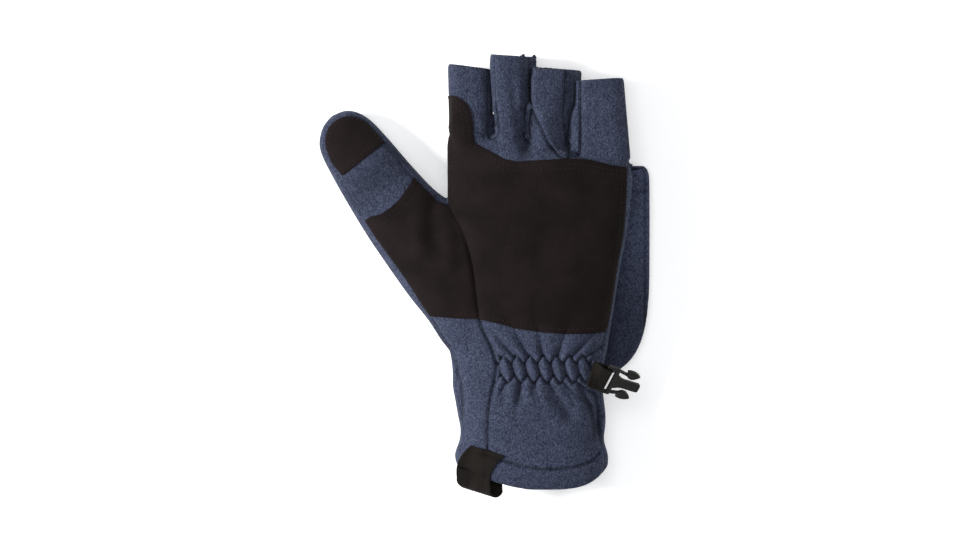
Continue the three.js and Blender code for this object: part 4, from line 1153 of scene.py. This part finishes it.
def finish_piece(bm, name, material, wall=0.0, outward=False, bevel=0.0):
    """Makes an object of a sheet, gives it its wall and lets it ride on the mitten."""
    bmesh.ops.delete(bm, geom=[vert for vert in bm.verts if not vert.link_faces], context="VERTS")
    mesh = bpy.data.meshes.new(name)
    bm.to_mesh(mesh)
    bm.free()
    mesh.materials.append(material)
    mesh.shade_smooth()
    thing = link(bpy.data.objects.new(name, mesh))
    if wall:
        solid = thing.modifiers.new("wall", "SOLIDIFY")
        solid.thickness = wall
        solid.offset = 1 if outward else -1
        solid.use_even_offset = False
    if bevel:
        edge = thing.modifiers.new("soft_edge", "BEVEL")
        edge.width = bevel
        edge.segments = 2
        edge.limit_method = "ANGLE"
        edge.angle_limit = math.radians(50)
    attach(thing, "root")
    print(name, len(mesh.polygons), "faces")
    return thing


def piece_of(bm, fields):
    """The part of a skin where every field is positive."""
    part = bm.copy()
    for field in fields:
        cut(part, field)
        keep(part, field)
    return part


def fleece_panel(name, bm, node=None, roll=0.6 * MM):
    roll_rim(bm, roll, 2.4 * MM)
    piece = finish_piece(bm, name, fleece, FLEECE_WALL)
    if node:
        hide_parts(node)
    return piece


def outside_gussets(points):
    return -np.max([field(points) for field in gusset_fields.values()], axis=0)


def below_ring_seam(points):
    return -inside_of(points, ring_outline)


ring_outline = np.vstack([ring_seam, ring_side_seam[::-1],
                          hand_line([(0.142, 1.207), (-0.052, 1.207)], 4)])
front_half = piece_of(glove, [front])
back_half = piece_of(glove, [lambda points: -front(points)])
palm_half = piece_of(front_half, [palm_side, outside_gussets])
thumb_half = piece_of(front_half, [lambda points: -palm_side(points)])
thumb = fleece_panel("thumb_fleece", thumb_half.copy(), "thumb_panel")
palm = fleece_panel("palm_fleece", piece_of(palm_half, [below_ring_seam]), "palm_panel")
fleece_panel("ring_front_fleece", piece_of(palm_half, [lambda points: -below_ring_seam(points)]))
back = fleece_panel("back_fleece", piece_of(back_half, [outside_gussets]), "back_panel")
for node, field in gusset_fields.items():
    fleece_panel(node.replace("gusset", "fourchette"), piece_of(glove, [field]), node, 0.3 * MM)

# %% [markdown]
# ## Suede patches
# The suede is laid on the fleece and sewn down along its edges. It takes the shape of what is
# under it, so each patch is cut from the same skin, lifted a hair and thickened outwards.

# %% Patches
SUEDE_WALL = 0.9 * MM
SUEDE_LIFT = 0.15 * MM


def thumb_suede(points):
    below_top = -side_of(points, thumb_edge_top)[0]
    above_foot = -side_of(points, palm_foot)[0]
    return np.min([below_top, above_foot, -palm_side(points) - 0.25 * MM], axis=0)


def tip_suede(points):
    return inside_of(points, tip_edge)


def palm_suede(points):
    return np.minimum(inside_of(points, palm_outline), palm_side(points) - 0.25 * MM)


def patch(name, field, node):
    bm = piece_of(front_half, [field])
    bm.normal_update()
    for vert in bm.verts:
        vert.co += vert.normal * SUEDE_LIFT
    roll_rim(bm, 0.25 * MM, 2.0 * MM)
    piece = finish_piece(bm, name, suede, SUEDE_WALL, outward=True, bevel=0.3 * MM)
    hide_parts(node)
    return piece


palm_patch = patch("palm_suede", palm_suede, "palm_patch")
thumb_patch = patch("thumb_suede", thumb_suede, "thumb_patch")
tip_patch = patch("thumb_tip_suede", tip_suede, "thumb_tip_patch")

# %% [markdown]
# ## The folded hood
# The hood is a flat pouch of two fleece layers, turned over behind the hand. Only its edge shows
# past the little finger. It starts as one closed form, is opened at its mouth, and is parted into
# the layer against the hand and the outer layer that lies on the floor.

# %% Hood
hood_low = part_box("hood_outer_panel")[0]
hood_high = Vector((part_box("hood_outer_panel")[1].x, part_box("hood_outer_panel")[1].y,
                    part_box("hood_hand_panel")[1].z))
hood_x = (hood_low.x + hood_high.x) / 2
hood_half = (hood_high.x - hood_low.x) / 2
hood_length = hood_high.y - hood_low.y
hood_thickness = hood_high.z - hood_low.z
# Columns: along the hood from its tip, width and thickness as shares of its own
HOOD_ROWS = np.array([
    (0.000, 0.10, 0.10), (0.010, 0.34, 0.30), (0.030, 0.56, 0.50), (0.080, 0.75, 0.74),
    (0.150, 0.87, 0.91), (0.250, 0.95, 0.98), (0.400, 0.992, 1.00), (0.600, 1.00, 1.00),
    (0.850, 1.00, 1.00), (0.950, 0.994, 1.00), (0.982, 0.975, 0.98), (1.000, 0.935, 0.94),
    (1.080, 0.90, 0.90),
])


def hood_place(u, v):
    along = 1.05 * v
    _, width, thickness = row_at(HOOD_ROWS, along)
    thick = thickness * hood_thickness
    x, z = section_point(u, hood_x, width * hood_half, (hood_thickness - thick) * 0.35, thick,
                         3.0, 3.0, 0.5, 0.8 * MM)
    return x, hood_low.y + along * hood_length, z


hood = skin_of([tube(90, 60, hood_place)], 1.0 * MM, "hood_skin")
hood_seam_z = hood_thickness / 2
HOOD_HEM = 14.9 * MM  # the stitch line of its hem below its top edge
HOOD_SIDE = 3.3 * MM  # its side seam from its free edge
MOUTH_SHADE_START = 6 * MM  # the strip of painted shade inside its mouth, from its free edge
MOUTH_SHADE_END = 11 * MM
MOUTH_SHADE_DEPTH = 3.2 * MM  # and from its top edge down


def hood_folds(points):
    """A lazy wave down the pouch's free side, and the hem's shallow groove."""
    far = (hood_high.y - points[:, 1]) / hood_length
    wave = 0.5 * MM * np.sin(far * 9) * smooth(0.6, 1.0, (points[:, 0] - hood_x) / hood_half)
    hem = -0.9 * MM * np.exp(-(((hood_high.y - HOOD_HEM - points[:, 1]) / (0.9 * MM)) ** 2))
    side = -0.7 * MM * np.exp(-(((points[:, 0] - hood_high.x + HOOD_SIDE) / (0.8 * MM)) ** 2))
    return wave + hem + side * smooth(0.02, 0.04, far)


def hood_shade(points):
    """Painted light towards the mouth and painted shade towards the tip, where the hand shades the
    hood, with darker stitches and painted shade inside the mouth.
    """
    x, y, _ = points.T
    # Painted light towards the mouth, painted shade towards the tip
    shade = -1.2 + 1.5 * smooth(0.30, 0.75, (hood_high.y - y) / hood_length)
    shade += 1.3 * np.exp(-(((hood_high.y - HOOD_HEM - y) / (0.7 * MM)) ** 2))
    shade += 1.1 * np.exp(-(((x - hood_high.x + HOOD_SIDE) / (0.7 * MM)) ** 2))
    from_top, from_side = hood_high.y - y, hood_high.x - x
    # Painted shade inside the mouth, between the layers
    inside = 1 - smooth(MOUTH_SHADE_DEPTH - 1 * MM, MOUTH_SHADE_DEPTH, from_top)
    inside *= 1 - smooth(MOUTH_SHADE_END - 1 * MM, MOUTH_SHADE_END, from_side)
    inside *= smooth(MOUTH_SHADE_START, MOUTH_SHADE_START + 1 * MM, from_side)
    return shade + 3 * inside * smooth(0.6 * MM, 1.2 * MM, from_top)


hood.normal_update()
lifts = hood_folds(points_of(hood))
shades = hood_shade(points_of(hood))
# The hood's painted light and shade is kept on its points for the fleece's colour
hood_painted_shade = hood.verts.layers.float.new("sunk")
for vert, lift, shade in zip(hood.verts, lifts, shades):
    vert[hood_painted_shade] = shade
    if vert.normal.z > 0.3:
        vert.co.z += lift


def hood_mouth(points):
    share = np.clip((points[:, 0] - hood_x) / hood_half, -1, 1)
    upper = smooth(hood_seam_z - 1 * MM, hood_seam_z + 1 * MM, points[:, 2])
    scoop = 2.6 * MM * upper * (1 - np.abs(share) ** 12)
    return hood_high.y - 0.2 * MM - scoop - points[:, 1]


cut(hood, hood_mouth)
keep(hood, hood_mouth)


def hood_layer(name, field, node):
    bm = hood.copy()
    cut(bm, field)
    keep(bm, field)
    roll_rim(bm, 0.6 * MM, 2.2 * MM)
    piece = finish_piece(bm, name, fleece, FLEECE_WALL - 0.1 * MM)
    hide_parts(node)


hood_layer("hood_hand_layer", lambda points: points[:, 2] - hood_seam_z, "hood_hand_panel")
hood_layer("hood_outer_layer", lambda points: hood_seam_z - points[:, 2], "hood_outer_panel")

# %% [markdown]
# ## Stitches
# A stitch is a short bead of thread that sinks a little into the cloth. One row of them is a
# single mesh: small icospheres, stretched along the row and laid on the surface under them.

# %% Rows of stitches
STITCH_LENGTH = 1.9 * MM
STITCH_PITCH = 2.7 * MM
STITCH_THICKNESS = 0.52 * MM
depsgraph = bpy.context.evaluated_depsgraph_get()
surfaces = [BVHTree.FromObject(thing, depsgraph) for thing in
            (palm_patch, thumb_patch, tip_patch, palm, thumb)]


def surface_at(x, y):
    """The highest cloth under a place, and its normal."""
    hits = [tree.ray_cast(Vector((x, y, 0.2)), Vector((0, 0, -1))) for tree in surfaces]
    found = [(hit[0], hit[1]) for hit in hits if hit[0] is not None]
    return max(found, key=lambda hit: hit[0].z) if found else None


def parallel(line, distance):
    """A line moved sideways in plan, to its left where distance is positive."""
    run = np.gradient(line, axis=0)
    run /= np.maximum(np.hypot(run[:, 0], run[:, 1]), 1e-9)[:, None]
    return line + distance * np.column_stack([-run[:, 1], run[:, 0]])


def along_line(line, pitch):
    """Places every pitch along a line, with the direction there."""
    runs = np.hypot(*np.diff(line, axis=0).T)
    total = np.concatenate([[0], np.cumsum(runs)])
    places = np.arange(pitch / 2, total[-1], pitch)
    x = np.interp(places, total, line[:, 0])
    y = np.interp(places, total, line[:, 1])
    ahead_x = np.interp(places + 0.3 * pitch, total, line[:, 0])
    ahead_y = np.interp(places + 0.3 * pitch, total, line[:, 1])
    return [(Vector((a, b)), Vector((c - a, d - b))) for a, b, c, d in zip(x, y, ahead_x, ahead_y)]


def stitch_row(bm, line):
    for at, run in along_line(line, STITCH_PITCH):
        found = surface_at(at.x, at.y)
        if not found or run.length < 1e-7:
            continue
        point, normal = found
        if normal.z < 0.15:
            continue
        ahead = Vector((run.x, run.y, 0))
        ahead = (ahead - normal * ahead.dot(normal)).normalized()
        aside = normal.cross(ahead)
        turn = Matrix((ahead, aside, normal)).transposed().to_4x4()
        size = Matrix.Diagonal((STITCH_LENGTH / 2, STITCH_THICKNESS / 2, STITCH_THICKNESS / 2.6, 1))
        bmesh.ops.create_icosphere(bm, subdivisions=1, radius=1,
                                   matrix=Matrix.Translation(point) @ turn @ size)


def stitches(name, rows):
    bm = bmesh.new()
    for row in rows:
        stitch_row(bm, row)
    finish_piece(bm, name, thread)


palm_rows = [parallel(palm_edge, -2.4 * MM), parallel(palm_edge, -5.2 * MM),
             parallel(palm_side_edge, -2.2 * MM), parallel(palm_foot[:34], -2.4 * MM)]
stitches("palm_stitches", palm_rows)
thumb_rows = [parallel(thumb_edge_top, -2.4 * MM), parallel(thumb_edge_top, -5.0 * MM)]
stitches("thumb_stitches", [row[8:44] for row in thumb_rows])
tip_foot = thumb_line([(-0.29, 0.818), (0.38, 0.821)], 20)
stitches("thumb_tip_stitches", [tip_foot, parallel(tip_edge, -1.8 * MM)])

# %% [markdown]
# ## Webbing
# The loop at the hem is a band of webbing sewn at its top edge, laid over the hem and back up
# inside. The strap is a band round the buckle's bar. Each band is a grid that follows a path, with
# a UV map in metres for the weave, and gets its thickness from Solidify.

# %% Bands of webbing
WEBBING_WALL = 1.2 * MM
WEBBING_EDGE = 0.25 * MM


def band(name, across, along, place, width, length, node):
    """A band of webbing: a grid whose corner at (u, v) from 0 to 1 goes to place(u, v)."""
    bm = bmesh.new()
    weave = bm.loops.layers.uv.new("weave")
    bmesh.ops.create_grid(bm, x_segments=across, y_segments=along, size=0.5)
    for face in bm.faces:
        for loop in face.loops:
            share = loop.vert.co
            loop[weave].uv = ((share.x + 0.5) * width, (share.y + 0.5) * length)
    for vert in bm.verts:
        vert.co = place(vert.co.x + 0.5, vert.co.y + 0.5)
    piece = finish_piece(bm, name, webbing)
    solid = piece.modifiers.new("wall", "SOLIDIFY")
    solid.thickness = WEBBING_WALL
    solid.offset = 0
    edge = piece.modifiers.new("soft_edge", "BEVEL")
    edge.width = WEBBING_EDGE
    edge.segments = 2
    edge.limit_method = "ANGLE"
    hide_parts(node)


PULL_WIDTH = 20 * MM
PULL_DROP = 24.6 * MM  # from its sewn top edge to the outside of its bend
PULL_ANGLE = math.radians(17)
PULL_BEND = 4.0 * MM  # radius of its bend
PULL_TUCK = 8 * MM  # how far it runs back up inside
PULL_SKEW = 7.5 * MM  # how far the inner layer lies to the side of the outer one
PULL_SWAY = 14.7 * MM  # how fast the band sways towards the thumb below its top
PULL_RETURN = 12.2 * MM  # how much of that it takes back at its bend
pull_top = spot(-0.285, 0.110)
pull_down = Vector((-math.sin(PULL_ANGLE), -math.cos(PULL_ANGLE)))
pull_aside = Vector((math.cos(PULL_ANGLE), -math.sin(PULL_ANGLE)))
pull_straight = PULL_DROP - PULL_BEND - WEBBING_WALL / 2
pull_length = pull_straight + math.pi * PULL_BEND + PULL_TUCK
pull_surfaces = [BVHTree.FromObject(thing, depsgraph) for thing in (palm, thumb, back)]


def cuff_top(x, y):
    hits = [tree.ray_cast(Vector((x, y, 0.2)), Vector((0, 0, -1)))[0] for tree in pull_surfaces]
    return max((hit.z for hit in hits if hit is not None and hit.z > 15 * MM), default=None)


def pull_height(s, v):
    """The height of the band's middle over the cuff, straightened across its stiff width."""
    clear = WEBBING_WALL / 2 + 0.5 * MM
    heights = []
    for step_v in (-9 * MM, -4 * MM, 0, 4 * MM, 9 * MM):
        at = Vector(pull_top) + pull_down * min(s, 15 * MM) + pull_aside * step_v
        found = cuff_top(at.x, at.y)
        if found is not None:
            heights.append((step_v, found))
    places, tops = np.array(heights).T
    own = float(np.interp(v, places, tops))
    slope, level = np.polyfit(places, tops, 1)
    plane = slope * v + level
    return clear + max(own, 0.35 * plane + 0.65 * own)


def pull_place(u, v):
    s = (1 - v) * pull_length
    across = (u - 0.5) * PULL_WIDTH
    if s < pull_straight:
        run, drop = s, 0.0
    elif s < pull_straight + math.pi * PULL_BEND:
        turn = (s - pull_straight) / PULL_BEND
        run = pull_straight + PULL_BEND * math.sin(turn)
        drop = PULL_BEND * (1 - math.cos(turn))
    else:
        run = pull_straight - (s - pull_straight - math.pi * PULL_BEND)
        drop = 2 * PULL_BEND
    turned = drop / (2 * PULL_BEND)
    across = PULL_WIDTH / 2 - (PULL_WIDTH / 2 - across) * (1 - 0.22 * turned)
    share = min(run / pull_straight, 1)
    across += PULL_SKEW * turned - (PULL_SWAY * share - PULL_RETURN * share**2)
    at = Vector(pull_top) + pull_down * run + pull_aside * across
    return at.x, at.y, pull_height(min(run, pull_straight), across) - drop


band("hem_loop", 14, 70, pull_place, PULL_WIDTH, pull_length, "cuff_pull_loop")

# %% [markdown]
# ## Strap and buckle
# The strap and the buckle share a frame of their own: X along the strap, Y across it and Z out of
# it. The buckle's tongue is flat plates drawn in outline, pulled up to their thickness and given
# round edges: a bar for the strap, two rails, a cross bar, a middle prong and two barbed arms.

# %% Strap frame
STRAP_WIDTH = 15 * MM
STRAP_ANGLE = math.radians(-17)
STRAP_TILT = math.radians(16)
STRAP_ROLL = math.radians(34)  # its far end is turned up by this towards the fingers
STRAP_LENGTH = 11.2 * MM
STRAP_SINK = 3.6 * MM  # its sewn end below the top of the model's strap
BAR = 2 * MM
BAR_GAP = 0.3 * MM
strap_fold = BAR + 2 * (BAR_GAP + WEBBING_WALL)
strap_root = (*spot(0.275, 0.329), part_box("wrist_strap")[1].z - STRAP_SINK)
strap_frame = (Matrix.Translation(strap_root) @ Matrix.Rotation(STRAP_ANGLE, 4, "Z")
               @ Matrix.Rotation(STRAP_TILT, 4, "Y"))
buckle_frame = strap_frame @ Matrix.Rotation(STRAP_ROLL, 4, "X")


def strap_place(u, v):
    """The band's middle line: out over the bar, round it and back under."""
    radius = (strap_fold - WEBBING_WALL) / 2
    straight = STRAP_LENGTH - radius - WEBBING_WALL / 2
    total = 2 * straight + math.pi * radius
    s = v * total
    y = (u - 0.5) * STRAP_WIDTH
    if s < straight:
        x, z = s, radius
    elif s < straight + math.pi * radius:
        turn = (s - straight) / radius
        x, z = straight + radius * math.sin(turn), radius * math.cos(turn)
    else:
        x, z = total - s, -radius
    sewn = 1 - smooth(0, 4.5 * MM, x)
    roll = Matrix.Rotation(STRAP_ROLL * smooth(0, STRAP_LENGTH / 2, x), 4, "X")
    return strap_frame @ roll @ Vector((x, y, z * (1 - 0.62 * sewn)))


band("strap_band", 12, 60, strap_place, STRAP_WIDTH, 2 * STRAP_LENGTH, "wrist_strap")

# %% Buckle tongue
bar_x = STRAP_LENGTH - WEBBING_WALL - BAR_GAP - BAR / 2
inner = STRAP_WIDTH / 2 + 0.3 * MM  # half the room between the rails
outer = inner + 1.5 * MM
WINDOW = 3.1 * MM  # the opening between the strap's bar and the cross bar
CROSS = 2.2 * MM
PRONG_LENGTH = 14.8 * MM
PRONG_WIDTH = 5.6 * MM
cross_start = bar_x + BAR / 2 + WINDOW
cross_end = cross_start + CROSS
BARB_LENGTH = 7.8 * MM
BARB_WIDTH = 4.6 * MM
ARM_WIDTH = 1.3 * MM
barb_start = cross_end + PRONG_LENGTH - 2.4 * MM - BARB_LENGTH
BUCKLE_THICKNESS = 3 * MM


def plate(bm, corners, thickness, rounding, sink=0.0):
    """A flat plate from its outline, pulled to a thickness and rounded at its edges."""
    own = bmesh.new()
    verts = [own.verts.new((x, y, -thickness / 2 - sink)) for x, y in corners]
    face = own.faces.new(verts)
    made = bmesh.ops.extrude_face_region(own, geom=[face])["geom"]
    moved = [piece for piece in made if isinstance(piece, bmesh.types.BMVert)]
    bmesh.ops.translate(own, verts=moved, vec=(0, 0, thickness))
    bmesh.ops.recalc_face_normals(own, faces=own.faces)
    flat = [edge for edge in own.edges if abs(edge.verts[0].co.z - edge.verts[1].co.z) < 1e-6]
    bmesh.ops.bevel(own, geom=flat, offset=rounding, segments=3, profile=0.5,
                    affect="EDGES", material=-1)
    mesh = bpy.data.meshes.new("plate")
    own.to_mesh(mesh)
    own.free()
    bm.from_mesh(mesh)
    bpy.data.meshes.remove(mesh)


def box_corners(x0, x1, y0, y1, cut_off=0.0):
    return [(x0 + cut_off, y0), (x1 - cut_off, y0), (x1, y0 + cut_off), (x1, y1 - cut_off),
            (x1 - cut_off, y1), (x0 + cut_off, y1), (x0, y1 - cut_off), (x0, y0 + cut_off)]


def bend(start, pull, end, count=6):
    """Points on a round line from start to end, pulled towards a point in its middle."""
    shares = [(i + 1) / count for i in range(count)]
    return [tuple((1 - t) ** 2 * a + 2 * t * (1 - t) * b + t**2 * c
                  for a, b, c in zip(start, pull, end)) for t in shares]


def barb_spot(along, inwards):
    return barb_start + along * BARB_LENGTH, outer - inwards * BARB_WIDTH


def arm_outline(side):
    """A springy arm with its barbed head, on one side of the tongue."""
    foot = outer - 0.6 * MM
    neck = outer - 1.8 * MM
    hook = barb_spot(-0.05, -0.045)
    tip = barb_spot(1, 0.31)
    shape = [(cross_end - 1 * MM, foot - ARM_WIDTH), (cross_end - 1 * MM, foot),
             (barb_start, neck), hook]
    shape += bend(hook, barb_spot(0.6, -0.34), tip)
    shape += bend(tip, barb_spot(0.45, 1.48), (barb_start, neck - ARM_WIDTH))
    return [(x, side * y) for x, y in shape]


def prong_outline():
    """The middle prong, wide where it leaves the cross bar."""
    half = PRONG_WIDTH / 2
    # Columns: place past the cross bar, and width as a share of PRONG_WIDTH
    rows = [(-1 * MM, 1.7), (1.1 * MM, 1.5), (3 * MM, 1.12), (4.8 * MM, 1),
            (PRONG_LENGTH - 1 * MM, 1), (PRONG_LENGTH, 0.72)]
    side = [(cross_end + x, half * width) for x, width in rows]
    return side + [(x, -y) for x, y in reversed(side)]


buckle_bm = bmesh.new()
BUCKLE_ROUNDING = 0.4 * MM
plate(buckle_bm, box_corners(cross_start, cross_end, -outer, outer, 0.5 * MM), BUCKLE_THICKNESS,
      BUCKLE_ROUNDING)
plate(buckle_bm, prong_outline(), BUCKLE_THICKNESS * 0.8, BUCKLE_ROUNDING)
for side in (1, -1):
    near, far = sorted((side * inner, side * outer))
    plate(buckle_bm, box_corners(bar_x - BAR / 2 - 0.6 * MM, cross_start + 1 * MM, near, far,
                                 0.4 * MM), BUCKLE_THICKNESS, BUCKLE_ROUNDING)
    plate(buckle_bm, arm_outline(side), BUCKLE_THICKNESS * 0.85, BUCKLE_ROUNDING)
bmesh.ops.create_cone(buckle_bm, cap_ends=True, segments=20, radius1=BAR / 2, radius2=BAR / 2,
                      depth=2 * inner + 2.2 * MM,
                      matrix=Matrix.Translation((bar_x, 0, 0)) @ Matrix.Rotation(math.pi / 2, 4, "X"))
bmesh.ops.transform(buckle_bm, matrix=buckle_frame, verts=buckle_bm.verts)
buckle = finish_piece(buckle_bm, "buckle_moulding", plastic)
buckle.data.shade_flat()
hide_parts("buckle_tongue")

# %% Finish: freeing the working skins
for skin in (glove, front_half, back_half, palm_half, thumb_half, hood):
    skin.free()
